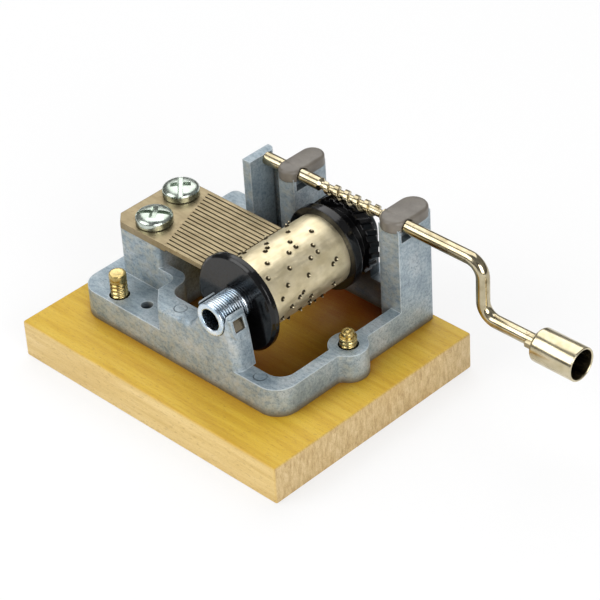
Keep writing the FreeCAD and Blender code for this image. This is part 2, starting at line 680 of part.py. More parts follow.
def make_drum_shell():
    """Thin cylinder with pins punched in rows that face the comb's teeth."""
    outer = doc.addObject("Part::Cylinder", "shell_outer")
    inner = doc.addObject("Part::Cylinder", "shell_inner")
    for cylinder, radius in ((outer, "drum_radius"), (inner, "drum_radius - drum_wall")):
        cylinder.setExpression("Radius", bound(radius))
        cylinder.setExpression("Height", bound("drum_back - (drum_front)"))
    tube = doc.addObject("Part::Cut", "shell_tube")
    tube.Base = outer
    tube.Tool = inner
    pins = []
    sunk = size("drum_wall / 2")
    for track, angle in pin_places():
        pin = doc.addObject("Part::Wedge", "pin")
        for side, way in (("min", "-"), ("max", "")):
            for axis in "XZ":
                pin.setExpression(axis + side, bound(way + "pin_foot"))
                pin.setExpression(axis + "2" + side, bound(way + "pin_tip"))
        pin.setExpression("Ymin", "0 mm")
        pin.setExpression("Ymax", bound("pin_height + drum_wall / 2"))
        turn = Rotation(Vector(0, 0, 1), angle)
        along = size(f"drum_lead + {track} * comb_pitch + (comb_pitch - comb_slit) / 2")
        foot = turn.multVec(Vector(size("drum_radius") - sunk, 0, 0))
        pin.Placement = Placement(foot + Vector(0, 0, along), turn * Rotation(Vector(0, 0, 1), -90))
        pins.append(pin)
    shell = doc.addObject("Part::MultiFuse", "drum_shell")
    shell.Shapes = [tube] + pins
    shell.Placement = Placement(Vector(), DRUM_TURN)
    for axis, expression in (("x", "drum_x"), ("y", "drum_front"), ("z", "drum_z")):
        shell.setExpression("Placement.Base." + axis, bound(expression))
    doc.recompute()
    return shell


def new_drum_body(name, along):
    return new_body(name, "drum_x", along, "drum_z", DRUM_TURN)


def make_drum_front_cap():
    """Black disc with a bevelled rim and a hub that plugs the cylinder."""
    body = new_drum_body("drum_front_cap", "drum_front")
    side = new_sketch(body, "XZ_Plane", "front_cap_side")
    draw_outline(side, [
        ("axle_radius", "-cap_thick"), ("cap_radius - cap_bevel", "-cap_thick"),
        ("cap_radius", "cap_bevel - cap_thick"), ("cap_radius", "0"), ("drum_radius - drum_wall", "0"),
        ("drum_radius - drum_wall", "hub_length"), ("axle_radius", "hub_length"),
    ])
    revolve(body, side, "Z_Axis")
    return body


def make_worm_wheel():
    """Moulded flange, neck and helical wheel that the worm drives."""
    body = new_drum_body("worm_wheel", "drum_back")
    side = new_sketch(body, "XZ_Plane", "wheel_side")
    front, back = "wheel_front - (drum_back)", "wheel_back - (drum_back)"
    hub_end = "rear_wall_front - rear_wall_gap - (drum_back)"
    draw_outline(side, [
        ("axle_radius", "-hub_length"), ("drum_radius - drum_wall", "-hub_length"),
        ("drum_radius - drum_wall", "0"), ("flange_radius", "0"), ("flange_radius", "flange_thick"),
        ("neck_radius", "flange_thick"), ("neck_radius", front), ("wheel_root", front),
        ("wheel_root", back), ("axle_radius + hub_length / 3", back),
        ("axle_radius + hub_length / 3", hub_end), ("axle_radius", hub_end),
    ])
    revolve(body, side, "Z_Axis")

    # A tooth runs between two like sections, turned by the worm's lead over the wheel's width
    lead = "atan(worm_pitch / (2 * pi * worm_pitch_radius))"
    twist = f"(wheel_width / 2 * tan({lead}) / (wheel_radius) * 180 / pi)"
    half_pitch = "180 / wheel_teeth"
    sections = []
    for name, place, turn in (("tooth_front", front, f"{half_pitch} - {twist}"),
                              ("tooth_back", back, f"{half_pitch} + {twist}")):
        section = new_sketch(body, "XY_Plane", name, place, turn)
        middle = "worm_pitch * tooth_share / 2"
        tip = f"{middle} - (wheel_tip - wheel_radius) * tan(flank_angle)"
        foot = f"{middle} + (wheel_radius - wheel_root + mesh_gap) * tan(flank_angle)"
        draw_outline(section, [
            (f"-({foot})", "-(wheel_root - mesh_gap)"), (f"-({tip})", "-wheel_tip"),
            (tip, "-wheel_tip"), (foot, "-(wheel_root - mesh_gap)"),
        ])
        sections.append(section)
    tooth = body.newObject("PartDesign::AdditiveLoft", "wheel_tooth")
    tooth.Profile = sections[0]
    tooth.Sections = sections[1:]
    tooth.Ruled = True
    doc.recompute()
    ring = body.newObject("PartDesign::PolarPattern", "wheel_ring")
    ring.Originals = [tooth]
    ring.Axis = (origin_part(body, "Z_Axis"), [""])
    ring.Angle = 360
    ring.setExpression("Occurrences", bound("wheel_teeth"))
    body.Tip = ring
    doc.recompute()
    return body


def make_drum_axle():
    """Hollow axle: a stub in the open front bearing and a journal in the rear wall."""
    body = new_drum_body("drum_axle", "frame_front - axle_proud")
    start = "frame_front - axle_proud"
    shoulder = f"rear_wall_front - rear_wall_gap - ({start})"
    end = f"rear_wall_back - ({start})"
    side = new_sketch(body, "XZ_Plane", "axle_side")
    draw_outline(side, [
        ("axle_bore", "0"), ("axle_radius - axle_chamfer", "0"), ("axle_radius", "axle_chamfer"),
        ("axle_radius", shoulder), ("journal_radius", shoulder), ("journal_radius", end), ("0", end),
        ("0", "axle_bore_depth"), ("axle_bore", "axle_bore_depth"),
    ])
    revolve(body, side, "Z_Axis")
    return body


def make_crank_shaft():
    """Rod bent to a crank, with the worm on it and the ends that keep the knob."""
    body = new_body("crank_shaft", "0", "shaft_y", "shaft_z")
    start = "stop_right + stop_gap"
    end = "rivet_start"
    path = new_sketch(body, "XZ_Plane", "crank_path")
    draw_outline(path, [
        (start, "0"), ("arm_x - arm_bend", "0", "arm_bend", "right"),
        ("arm_x", "-arm_bend"), ("arm_x", "arm_bend - arm_drop", "arm_bend", "left"),
        ("arm_x + arm_bend", "-arm_drop"), (end, "-arm_drop"),
    ], closed=False)
    section = new_sketch(body, "YZ_Plane", "crank_section", start)
    draw_circle(section, "0", "0", "shaft_radius")
    rod = body.newObject("PartDesign::AdditivePipe", "crank_rod")
    rod.Profile = section
    rod.Spine = (path, [f"Edge{index}" for index in range(1, 6)])
    doc.recompute()

    neck = new_sketch(body, "XZ_Plane", "worm_neck")
    half = "worm_pitch * thread_share"
    first = f"worm_start - {half}"
    last = f"worm_start + worm_pitch * worm_turns + {half}"
    draw_outline(neck, [
        (f"{first} - (shaft_radius - worm_core)", "shaft_radius * 1.5"),
        (f"{first} - (shaft_radius - worm_core)", "shaft_radius"), (first, "worm_core"), (last, "worm_core"),
        (f"{last} + shaft_radius - worm_core", "shaft_radius"),
        (f"{last} + shaft_radius - worm_core", "shaft_radius * 1.5"),
    ])
    revolve(body, neck, "X_Axis", "PartDesign::Groove")
    thread = new_sketch(body, "XZ_Plane", "worm_thread")
    middle = "worm_pitch * thread_share / 2"
    crest = f"{middle} - (shaft_radius - worm_pitch_radius) * tan(flank_angle)"
    root = f"{middle} + (worm_pitch_radius - worm_core + mesh_gap) * tan(flank_angle)"
    draw_outline(thread, [
        (f"worm_start - ({root})", "worm_core - mesh_gap"), (f"worm_start - ({crest})", "shaft_radius"),
        (f"worm_start + {crest}", "shaft_radius"), (f"worm_start + {root}", "worm_core - mesh_gap"),
    ])
    worm = body.newObject("PartDesign::AdditiveHelix", "worm")
    worm.Profile = thread
    worm.ReferenceAxis = (origin_part(body, "X_Axis"), [""])
    worm.Mode = 0
    worm.setExpression("Pitch", bound("worm_pitch"))
    worm.setExpression("Height", bound("worm_pitch * worm_turns"))
    worm.LeftHanded = False
    worm.Reversed = False
    doc.recompute()

    wings = new_sketch(body, "XY_Plane", "crank_wings", "-arm_drop - wing_thick / 2")
    wing_end = "knob_start - knob_gap"
    draw_box(wings, f"{wing_end} - wing_length", wing_end, "-wing_span / 2", "wing_span / 2")
    add_pad(body, wings, "wing_thick")
    rivet = new_sketch(body, "YZ_Plane", "crank_rivet", end)
    draw_circle(rivet, "0", "-arm_drop", "rivet_radius")
    add_pad(body, rivet, "rivet_height")
    return body


def make_crank_knob():
    """Turned cup with a closed end, loose on the handle pin."""
    body = new_body("crank_knob", "knob_start", "shaft_y", "handle_z", Rotation(Vector(0, 1, 0), 90))
    side = new_sketch(body, "XZ_Plane", "knob_side")
    hole = "shaft_radius + running_gap"
    draw_outline(side, [
        (hole, "0"), ("knob_radius - knob_bevel", "0"), ("knob_radius", "knob_bevel"),
        ("knob_radius", "knob_length"), ("knob_radius - knob_wall", "knob_length"),
        ("knob_radius - knob_wall", "knob_floor"), (hole, "knob_floor"),
    ])
    revolve(body, side, "Z_Axis")
    return body


pieces = [
    make_wood_base(),
    make_cast_frame(),
    make_comb(),
    make_comb_screw("comb_screw_near", "near_screw_x", "near_screw_y"),
    make_comb_screw("comb_screw_far", "far_screw_x", "far_screw_y"),
    *make_base_screws(),
    make_shaft_cap("shaft_cap_left", "left_post_left", "left_post_right"),
    make_shaft_cap("shaft_cap_right", "right_post_left", "frame_right"),
    make_drum_shell(),
    make_drum_front_cap(),
    make_worm_wheel(),
    make_drum_axle(),
    make_crank_shaft(),
    make_crank_knob(),
]
doc.recompute()

failed = [item.Name for item in doc.Objects if "Invalid" in item.State or "Error" in item.State]
failed += [piece.Label for piece in pieces if piece.Shape.isNull() or not piece.Shape.isValid()]
if failed:
    raise RuntimeError("pieces that failed: " + ", ".join(failed))

os.makedirs("parts", exist_ok=True)
for piece in pieces:
    piece.Shape.exportStep("parts/" + piece.Label + ".step")
    print(piece.Label, len(piece.Shape.Solids), "solid", round(piece.Shape.Volume, 2), "mm3")
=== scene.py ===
# %% [markdown]
# # A hand-crank music box movement
#
# The measured model already holds every rigid piece at its true size. This lesson dresses it: each
# piece gets the finish that the real one would have, and the pieces whose fine forms were left plain
# (board, screws, axle, punched cylinder, shaft caps, knob) are modelled again over the measured ones.
#
# First load the frame. Its bodies turn, its nodes are the measured pieces, and its box is the room
# that the finished object may fill.

# %% Load the frame
import bmesh
import bpy
import math
import numpy as np
from mathutils import Euler, Matrix, Vector


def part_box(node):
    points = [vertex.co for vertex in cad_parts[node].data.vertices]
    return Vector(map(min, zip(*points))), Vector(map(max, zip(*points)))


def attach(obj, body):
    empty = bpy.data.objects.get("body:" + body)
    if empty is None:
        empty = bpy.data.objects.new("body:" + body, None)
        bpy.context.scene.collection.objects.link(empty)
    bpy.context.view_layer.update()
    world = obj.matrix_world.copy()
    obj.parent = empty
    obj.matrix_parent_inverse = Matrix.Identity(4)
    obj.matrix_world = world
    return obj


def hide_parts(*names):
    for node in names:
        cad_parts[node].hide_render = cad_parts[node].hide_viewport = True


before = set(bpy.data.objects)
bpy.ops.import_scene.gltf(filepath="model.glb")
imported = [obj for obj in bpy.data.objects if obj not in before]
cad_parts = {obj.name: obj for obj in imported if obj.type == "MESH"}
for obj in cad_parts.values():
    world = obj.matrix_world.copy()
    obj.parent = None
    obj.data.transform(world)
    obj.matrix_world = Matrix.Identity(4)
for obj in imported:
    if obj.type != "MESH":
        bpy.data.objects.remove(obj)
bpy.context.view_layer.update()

MM = 0.001

# %% [markdown]
# ## Colours and shader nodes
#
# Photographs hold colours as screen values, while shaders mix light, so `paint` changes one into the
# other. A shader is a tree of small nodes joined by links, and writing each link by hand hides what is
# meant. `Nodes` therefore gives the few that are used here plain verbs: sums, a ramp from value to
# colour, and mixes of two colours or two shaders.

# %% Paint and nodes
def paint(red, green, blue):
    """Turn screen values from 0 to 255 into the light that a shader mixes."""
    shares = [value / 255 for value in (red, green, blue)]
    light = [share / 12.92 if share < 0.04 else ((share + 0.055) / 1.055) ** 2.4 for share in shares]
    return (*light, 1.0)


class Nodes:
    """A tree of shader nodes with plain verbs."""

    def __init__(self, tree):
        self.tree = tree

    def node(self, kind, **settings):
        made = self.tree.nodes.new(kind)
        for key, value in settings.items():
            setattr(made, key, value)
        return made

    def feed(self, socket, value):
        if isinstance(value, bpy.types.NodeSocket):
            self.tree.links.new(value, socket)
        else:
            socket.default_value = value

    def vector(self, operation, first, second=None, scale=None):
        made = self.node("ShaderNodeVectorMath", operation=operation)
        self.feed(made.inputs[0], first)
        if second is not None:
            self.feed(made.inputs[1], second)
        if scale is not None:
            self.feed(made.inputs["Scale"], scale)
        one_number = operation in ("LENGTH", "DISTANCE", "DOT_PRODUCT")
        return made.outputs["Value" if one_number else "Vector"]

    def sum(self, operation, first, second=0.0):
        made = self.node("ShaderNodeMath", operation=operation)
        self.feed(made.inputs[0], first)
        self.feed(made.inputs[1], second)
        return made.outputs[0]

    def part(self, vector, axis):
        made = self.node("ShaderNodeSeparateXYZ")
        self.feed(made.inputs[0], vector)
        return made.outputs[axis]

    def ramp(self, value, *stops):
        """Change a value into a colour, by (value, colour) stops in rising order."""
        made = self.node("ShaderNodeValToRGB")
        marks = made.color_ramp.elements
        while len(marks) < len(stops):
            marks.new(0.5)
        for mark, (position, colour) in zip(marks, stops):
            mark.position = position
            mark.color = colour if isinstance(colour, tuple) else (colour, colour, colour, 1)
        self.feed(made.inputs[0], value)
        return made.outputs[0]

    def tones(self, value, spread, colours):
        """A ramp of three colours, the middle one at 0.5 and the others `spread` away from it."""
        return self.ramp(value, *zip((0.5 - spread, 0.5, 0.5 + spread), colours))

    def mix(self, share, first, second, blend="MIX"):
        made = self.node("ShaderNodeMix", data_type="RGBA", blend_type=blend)
        self.feed(made.inputs["Factor"], share)
        self.feed(made.inputs[6], first)
        self.feed(made.inputs[7], second)
        return made.outputs[2]

    def blend(self, share, first, second, output):
        """Mix two shaders and lead them to the tree's output node."""
        made = self.node("ShaderNodeMixShader")
        for socket, value in zip(made.inputs, (share, first, second)):
            self.feed(socket, value)
        self.feed(self.tree.nodes[output].inputs["Surface"], made.outputs[0])

    def camera_ray(self):
        """One where the camera looks straight at a surface, and nothing where light bounces."""
        return self.node("ShaderNodeLightPath").outputs["Is Camera Ray"]


print("paint and nodes are ready")

# %% [markdown]
# ## A finish
#
# A `Finish` is a material: colour, gloss and fine height. Every texture is laid in millimetres of the
# piece itself, so it turns with the piece. Two more measures come from the shape: how hidden a spot
# is, where painted shade goes, and how near an edge it is, where metal wears bright and a painted
# highlight goes.

# %% Finish
class Finish(Nodes):
    """A procedural material, built up by small steps."""

    def __init__(self, name, colour, metal=0.0, rough=0.5):
        self.material = bpy.data.materials.new(name)
        self.material.use_nodes = True
        super().__init__(self.material.node_tree)
        self.shader = self.tree.nodes["Principled BSDF"]
        self.set("Base Color", colour)
        self.set("Metallic", metal)
        self.set("Roughness", rough)
        spot = self.node("ShaderNodeTexCoord").outputs["Object"]
        self.spot = self.vector("SCALE", spot, scale=1 / MM)
        self.normal = None

    def set(self, socket, value):
        self.feed(self.shader.inputs[socket], value)

    def cover(self, share, colour):
        """Lay a further colour over the one that the finish has so far."""
        laid = self.shader.inputs["Base Color"].links[0].from_socket
        self.set("Base Color", self.mix(share, laid, colour))

    def facing(self, axis):
        """How far the surface faces along one axis, from -1 to 1."""
        return self.part(self.node("ShaderNodeNewGeometry").outputs["Normal"], axis)

    def noise(self, grain, detail=4.0, stretch=(1, 1, 1), lumpy=0.5):
        """Cloudy variation whose lumps are about `grain` millimetres wide."""
        made = self.node("ShaderNodeTexNoise")
        self.feed(made.inputs["Vector"], self.vector("MULTIPLY", self.spot, stretch))
        self.feed(made.inputs["Scale"], 1 / grain)
        self.feed(made.inputs["Detail"], detail)
        self.feed(made.inputs["Roughness"], lumpy)
        return made.outputs["Fac"]

    def crevice(self, reach):
        """How hidden a spot is, from 0 in the open to 1 in a recess about `reach` millimetres deep."""
        made = self.node("ShaderNodeAmbientOcclusion", samples=8)
        self.feed(made.inputs["Distance"], reach * MM)
        return self.sum("SUBTRACT", 1.0, made.outputs["AO"])

    def rolled(self, radius):
        """The normals that the piece would have if its edges were rounded by this many millimetres."""
        made = self.node("ShaderNodeBevel", samples=6)
        self.feed(made.inputs["Radius"], radius * MM)
        return made.outputs[0]

    def soften(self, radius):
        """Let light roll round the edges."""
        self.normal = self.rolled(radius)
        self.set("Normal", self.normal)

    def worn(self, radius):
        """How near an edge a spot is, from 0 on a flat face to about 0.3 on a square edge."""
        flat = self.node("ShaderNodeNewGeometry").outputs["Normal"]
        return self.sum("SUBTRACT", 1.0, self.vector("DOT_PRODUCT", self.rolled(radius), flat))

    def bump(self, height, depth, strength=1.0):
        """Raise the surface by up to `depth` millimetres."""
        made = self.node("ShaderNodeBump")
        self.feed(made.inputs["Strength"], strength)
        self.feed(made.inputs["Distance"], depth * MM)
        self.feed(made.inputs["Height"], height)
        if self.normal:
            self.feed(made.inputs["Normal"], self.normal)
        self.normal = made.outputs[0]
        self.set("Normal", self.normal)


def middle(node):
    """The centre of a measured piece's box."""
    low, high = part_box(node)
    return (low + high) / 2


print("a finish is ready")

# %% [markdown]
# ## Hardwood for the base
#
# The board is pale hardwood under clear lacquer, planed on top and sawn at its ends. Long streaks run
# with the grain along X, short dark flecks lie between them, and the end faces are greyer with upright
# saw marks. The faces also differ by painted light: the front and back are painted lighter than the top
# and ends. Under the drum little light gets down to the top, so painted shade makes the wood deep orange
# there.

# %% Wood finish
WOOD_PLAIN = paint(214, 180, 96)
WOOD_TOP = (paint(192, 150, 30), paint(206, 168, 46), paint(215, 182, 66))
WOOD_SIDE_LIT = (paint(204, 172, 104), paint(218, 190, 126), paint(228, 203, 142))
WOOD_END = (paint(166, 138, 92), paint(196, 171, 124), paint(214, 193, 150))
WOOD_BAND = paint(176, 128, 40)
WOOD_FLECK = paint(146, 104, 44)
WOOD_SPECKLE = paint(160, 120, 58)
WOOD_SHADE_UNDER_DRUM = paint(124, 40, 0)
SHADE_REACH = 14.0


def make_wood():
    wood = Finish("lacquered_hardwood", WOOD_PLAIN, rough=0.42)
    streaks = wood.noise(1.3, detail=7, stretch=(0.07, 1, 1), lumpy=0.6)
    fibres = wood.noise(0.3, detail=3, stretch=(0.08, 1, 1))
    flecks = wood.noise(0.24, detail=2, stretch=(0.22, 1, 1), lumpy=0.6)
    bands = wood.noise(7.0, detail=3, stretch=(0.25, 1, 1))
    speckle = wood.noise(0.2, detail=3, lumpy=0.7)
    saw = wood.noise(0.55, detail=6, stretch=(1, 1, 0.3), lumpy=0.7)
    # Partly painted light: the front and back faces are painted lighter than the top, as the lamps light
    # them more.
    side = wood.tones(streaks, 0.2, WOOD_SIDE_LIT)
    end = wood.tones(saw, 0.18, WOOD_END)
    wood.set("Base Color", wood.tones(streaks, 0.2, WOOD_TOP))
    for axis, face in (("Y", side), ("X", end)):
        wood.cover(wood.sum("POWER", wood.sum("ABSOLUTE", wood.facing(axis)), 2.0), face)
    wood.cover(wood.ramp(bands, (0.35, 0.14), (0.6, 0.0)), WOOD_BAND)
    wood.cover(wood.ramp(flecks, (0.58, 0.0), (0.7, 0.4)), WOOD_FLECK)
    wood.cover(wood.ramp(speckle, (0.3, 0.4), (0.5, 0.0)), WOOD_SPECKLE)
    # Painted shade: the top is painted deep orange where the drum hides it from the light.
    upward = wood.sum("MAXIMUM", wood.facing("Z"), 0.0)
    hidden = wood.ramp(wood.crevice(SHADE_REACH), (0.28, 0.0), (0.72, 0.97))
    wood.cover(wood.sum("MULTIPLY", upward, hidden), WOOD_SHADE_UNDER_DRUM)
    wood.set("Roughness", wood.ramp(fibres, (0.3, 0.55), (0.7, 0.36)))
    wood.set("Specular IOR Level", 0.3)
    wood.set("Coat Weight", 0.06)
    wood.set("Coat Roughness", 0.3)
    wood.soften(0.15)
    wood.bump(fibres, 0.05, 0.5)
    wood.bump(speckle, 0.03, 0.3)
    return wood


wood = make_wood()
print("wood:", len(wood.tree.nodes), "shader nodes")

# %% [markdown]
# ## Marks and painted shade on the casting
#
# One mark tells how the casting was made. Round lines show where the mould's ejector pins pushed it out:
# they are shallow circles, so distance from a centre makes them. The wall behind the worm wheel is painted
# nearly black as shade, again by distance, reaching further up and down than across. Upright faces at the
# foot of the casting are painted a brown shade just above the board.

# %% Zinc marks
EJECTOR_SPOTS = ((-1.3, -12.4, 17.4), (16.8, -12.6, 12.6))
EJECTOR_RADIUS = 1.25
EJECTOR_LINE = paint(84, 94, 100)
GEAR_SHADE = paint(8, 9, 10)
GEAR_SHADE_REACH = 11.0
GEAR_SHADE_FALL = (1.0, 1.0, 0.6)
FOOT_SHADE = paint(104, 88, 48)
FOOT_SHADE_HEIGHT = 1.5
BOARD_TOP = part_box("wood_base")[1].z / MM


# Painted shade: upright faces are painted brown just above the board.
def shade_foot(zinc):
    rise = zinc.sum("SUBTRACT", zinc.part(zinc.spot, "Z"), BOARD_TOP)
    low = zinc.ramp(zinc.sum("DIVIDE", rise, FOOT_SHADE_HEIGHT), (0.1, 0.85), (1.0, 0.0))
    upright = zinc.sum("SUBTRACT", 1.0, zinc.sum("ABSOLUTE", zinc.facing("Z")))
    zinc.cover(zinc.sum("MULTIPLY", low, upright), FOOT_SHADE)


# Painted shade: inward faces near the worm wheel are painted nearly black, reaching further up and down
# than across.
def shade_behind_gear(zinc):
    from_gear = zinc.vector("SUBTRACT", zinc.spot, middle("worm_wheel") / MM)
    stretched = zinc.vector("LENGTH", zinc.vector("MULTIPLY", from_gear, GEAR_SHADE_FALL))
    near_gear = zinc.ramp(zinc.sum("DIVIDE", stretched, GEAR_SHADE_REACH), (0.7, 0.97), (1.0, 0.0))
    inward = zinc.sum("SUBTRACT", 1.0, zinc.sum("MAXIMUM", zinc.facing("Y"), 0.0))
    zinc.cover(zinc.sum("MULTIPLY", inward, near_gear), GEAR_SHADE)


def ejector_circles(zinc):
    """Distance from each ejector's centre, where 1 is the rim of its mark."""
    away = [zinc.vector("DISTANCE", zinc.spot, spot) for spot in EJECTOR_SPOTS]
    return [zinc.sum("DIVIDE", distance, EJECTOR_RADIUS) for distance in away]


# The grease and browned foot in this print are painted shade.
print(len(EJECTOR_SPOTS), "ejector marks, grease and a browned foot are ready")

# %% [markdown]
# ## Cast zinc
#
# Zinc runs into a steel mould and comes out blue-grey with a fine orange-peel skin. It tarnishes in
# soft clouds, and the faces toward the front get a painted brownish reflection of the wood. Edges wear
# bright with a painted highlight, and corners get painted shade. A metal share of about a third keeps it
# between paint and mirror, as old zinc looks.

# %% Zinc finish
ZINC_PLAIN = paint(150, 164, 172)
ZINC_CLOUDS = (paint(138, 154, 164), paint(160, 174, 182), paint(182, 190, 194))
ZINC_FLOW = (paint(178, 186, 190), paint(255, 255, 255))
ZINC_PIT = paint(96, 104, 108)
ZINC_WOOD_REFLECTION = paint(196, 190, 166)
ZINC_WORN_HIGHLIGHT = paint(222, 230, 234)
ZINC_CORNER_SHADE = paint(34, 40, 44)


def make_zinc():
    zinc = Finish("cast_zinc", ZINC_PLAIN, metal=0.35, rough=0.4)
    flow = zinc.noise(0.6, detail=7, stretch=(0.45, 1, 1), lumpy=0.75)
    skin = zinc.noise(0.3, detail=4, lumpy=0.65)
    tint_patches = zinc.noise(1.2, detail=7, lumpy=0.65)
    clouds = zinc.tones(zinc.noise(4.0, detail=5), 0.2, ZINC_CLOUDS)
    streams = zinc.ramp(flow, *zip((0.34, 0.56), ZINC_FLOW))
    zinc.set("Base Color", zinc.mix(0.8, clouds, streams, "MULTIPLY"))
    zinc.cover(zinc.ramp(skin, (0.32, 0.6), (0.48, 0.0)), ZINC_PIT)
    # Painted reflection: faces that look to the front take a brownish tint of the wood, in patches.
    front = zinc.sum("MAXIMUM", zinc.sum("MULTIPLY", zinc.facing("Y"), -1.0), 0.0)
    zinc.cover(zinc.sum("MULTIPLY", front, zinc.ramp(tint_patches, (0.44, 0.0), (0.62, 0.4))), ZINC_WOOD_REFLECTION)
    # Worn edges and a painted highlight: edges are painted nearly white.
    zinc.cover(zinc.ramp(zinc.worn(0.35), (0.03, 0.0), (0.2, 0.7)), ZINC_WORN_HIGHLIGHT)
    # Painted shade: corners and recesses are painted nearly black.
    zinc.cover(zinc.ramp(zinc.crevice(3.0), (0.5, 0.0), (0.95, 0.85)), ZINC_CORNER_SHADE)
    shade_foot(zinc)
    shade_behind_gear(zinc)
    circles = ejector_circles(zinc)
    for circle in circles:
        zinc.cover(zinc.ramp(circle, (0.78, 0.0), (0.88, 0.7), (0.98, 0.0)), EJECTOR_LINE)
    zinc.set("Roughness", zinc.ramp(flow, (0.3, 0.46), (0.7, 0.3)))
    zinc.soften(0.18)
    zinc.bump(skin, 0.07, 0.9)
    zinc.bump(flow, 0.08, 0.6)
    for circle in circles:
        zinc.bump(zinc.ramp(circle, (0.8, 0.0), (0.92, 1.0)), 0.25, 0.9)
    return zinc


zinc = make_zinc()
print("zinc:", len(zinc.tree.nodes), "shader nodes")

# %% [markdown]
# ## Ground, plated and turned metals
#
# Metals differ mostly in how they were worked. The comb is ground flat, so fine lines run across its
# teeth. The crank, screws and knob are plated and polished, with faint rub marks. The punched cylinder
# is warm nickel. One function makes them all: colour, gloss, the direction of the lines, and tarnish.

# %% Worked metals
ALL_WAYS = (1, 1, 1)


def make_metal(name, bright, dull, rough, stretch=ALL_WAYS, line=0.3, depth=0.01, tarnish=None):
    metal = Finish(name, bright, metal=1.0, rough=rough)
    lines = metal.noise(line, detail=4, stretch=stretch)
    clouds = metal.noise(2.4, detail=5)
    metal.set("Base Color", metal.mix(metal.ramp(clouds, (0.35, 1.0), (0.65, 0.0)), bright, dull))
    if tarnish:
        spots = metal.noise(1.1, detail=5, lumpy=0.65)
        metal.cover(metal.ramp(spots, (0.58, 0.0), (0.68, 0.75)), tarnish)
    metal.set("Roughness", metal.ramp(lines, (0.3, max(rough - 0.08, 0.05)), (0.7, rough + 0.1)))
    metal.soften(0.12)
    metal.bump(lines, depth, 0.6)
    return metal


comb_steel = make_metal(
    "ground_steel", paint(158, 144, 114), paint(140, 126, 98), rough=0.38,
    stretch=(0.08, 1, 1), tarnish=paint(132, 117, 88))
nickel = make_metal(
    "plated_screw", paint(196, 205, 196), paint(166, 176, 164), rough=0.24, line=0.8, depth=0.003)
brass = make_metal(
    "yellow_plated_screw", paint(210, 191, 134), paint(158, 136, 80), rough=0.23, stretch=(1, 1, 0.1))
drum_metal = make_metal(
    "warm_nickel", paint(236, 224, 192), paint(212, 199, 164), rough=0.49, stretch=(1, 0.15, 1))
axle_steel = make_metal("blue_zinc", paint(222, 232, 240), paint(168, 192, 212), rough=0.28)
nickel_rod = make_metal(
    "polished_rod", paint(194, 183, 154), paint(164, 152, 122), rough=0.15,
    stretch=(0.1, 1, 1), line=0.6, depth=0.003, tarnish=paint(120, 100, 64))
knob_metal = make_metal(
    "polished_knob", paint(208, 197, 168), paint(184, 172, 140), rough=0.2,
    stretch=(0.1, 1, 1), line=0.8, depth=0.002)
dark_steel = make_metal("pressed_steel", paint(122, 114, 98), paint(88, 82, 72), rough=0.2)
print("eight worked metals are ready")

# %% [markdown]
# ## Dark rings and painted shade in recesses
#
# A dark ring is painted round the foot of each punched point. The mesh of the cylinder will say where it
# was punched, by a number on each point, and the finish reads it. Recesses such as the cup of the knob,
# the slots of the screws and the bore of the axle get painted shade, which the crevice verb finds.

# %% Dark rings and painted shade
PIN_RING_DARK = paint(36, 27, 12)
RECESS_SHADE = paint(22, 20, 18)
BORE_RECESS_SHADE = paint(42, 62, 80)


# A dark ring is painted round the foot of each punched point.
def blacken_punched(metal):
    """Darken a ring round each punched point, where the mesh says that it was punched."""
    near_pin = metal.node("ShaderNodeAttribute", attribute_name="punched").outputs["Fac"]
    metal.cover(metal.ramp(near_pin, (0.22, 0.0), (0.36, 0.97), (0.66, 0.97), (0.78, 0.0)), PIN_RING_DARK)


# Painted shade: recesses are painted dark by how hidden they are.
def darken_recess(metal, reach, shade_colour=RECESS_SHADE):
    """Paint shade into recesses about this many millimetres deep."""
    metal.cover(metal.ramp(metal.crevice(reach), (0.4, 0.0), (0.65, 0.98)), shade_colour)


blacken_punched(drum_metal)
# Painted shade in the knob's cup, the screws' slots and the axle's bore.
darken_recess(knob_metal, 5.0)
darken_recess(nickel, 0.6)
darken_recess(axle_steel, 4.0, BORE_RECESS_SHADE)
print("the cylinder's points, knob, comb screws and axle are darkened")

# %% [markdown]
# ## Moulded plastics
#
# The end disc and the worm wheel are glossy black mouldings, and the two shaft caps are taupe ones
# with a satin skin. A moulding is not quite flat: a broad, shallow ripple bends its reflections.

# %% Plastics
def make_plastic(name, colour, shade, rough, ripple):
    plastic = Finish(name, colour, rough=rough)
    clouds = plastic.noise(2.0, detail=4)
    skin = plastic.noise(0.4, detail=3)
    plastic.set("Base Color", plastic.mix(plastic.ramp(clouds, (0.35, 0.0), (0.65, 1.0)), colour, shade))
    plastic.set("Roughness", plastic.ramp(skin, (0.3, max(rough - 0.08, 0.06)), (0.7, rough + 0.1)))
    plastic.soften(0.3)
    plastic.bump(clouds, ripple, 0.5)
    plastic.bump(skin, 0.015, 0.4)
    return plastic


black_plastic = make_plastic(
    "black_moulding", paint(6, 6, 7), paint(10, 10, 11), rough=0.13, ripple=0.008)
cap_plastic = make_plastic(
    "taupe_moulding", paint(112, 106, 97), paint(99, 93, 85), rough=0.36, ripple=0.03)
black_plastic.set("Specular IOR Level", 0.36)
print("two plastics are ready")

# %% [markdown]
# ## Dressing the measured pieces
#
# Pieces whose measured form is already right keep it, and only take their finish. Their curved faces
# are shaded smooth up to a crease of thirty degrees, so that a rod looks round.

# %% Dress the measured pieces
DRESS = {
    "cast_frame": zinc, "comb": comb_steel, "drum_front_cap": black_plastic,
    "worm_wheel": black_plastic, "crank_shaft": nickel_rod,
}
CREASE = math.radians(30)
for name, finish in DRESS.items():
    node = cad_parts[name]
    for place in node.material_slots:
        place.material = finish.material
    node.data.shade_smooth()
    node.data.set_sharp_from_angle(angle=CREASE)
    print(name, "takes", finish.material.name)

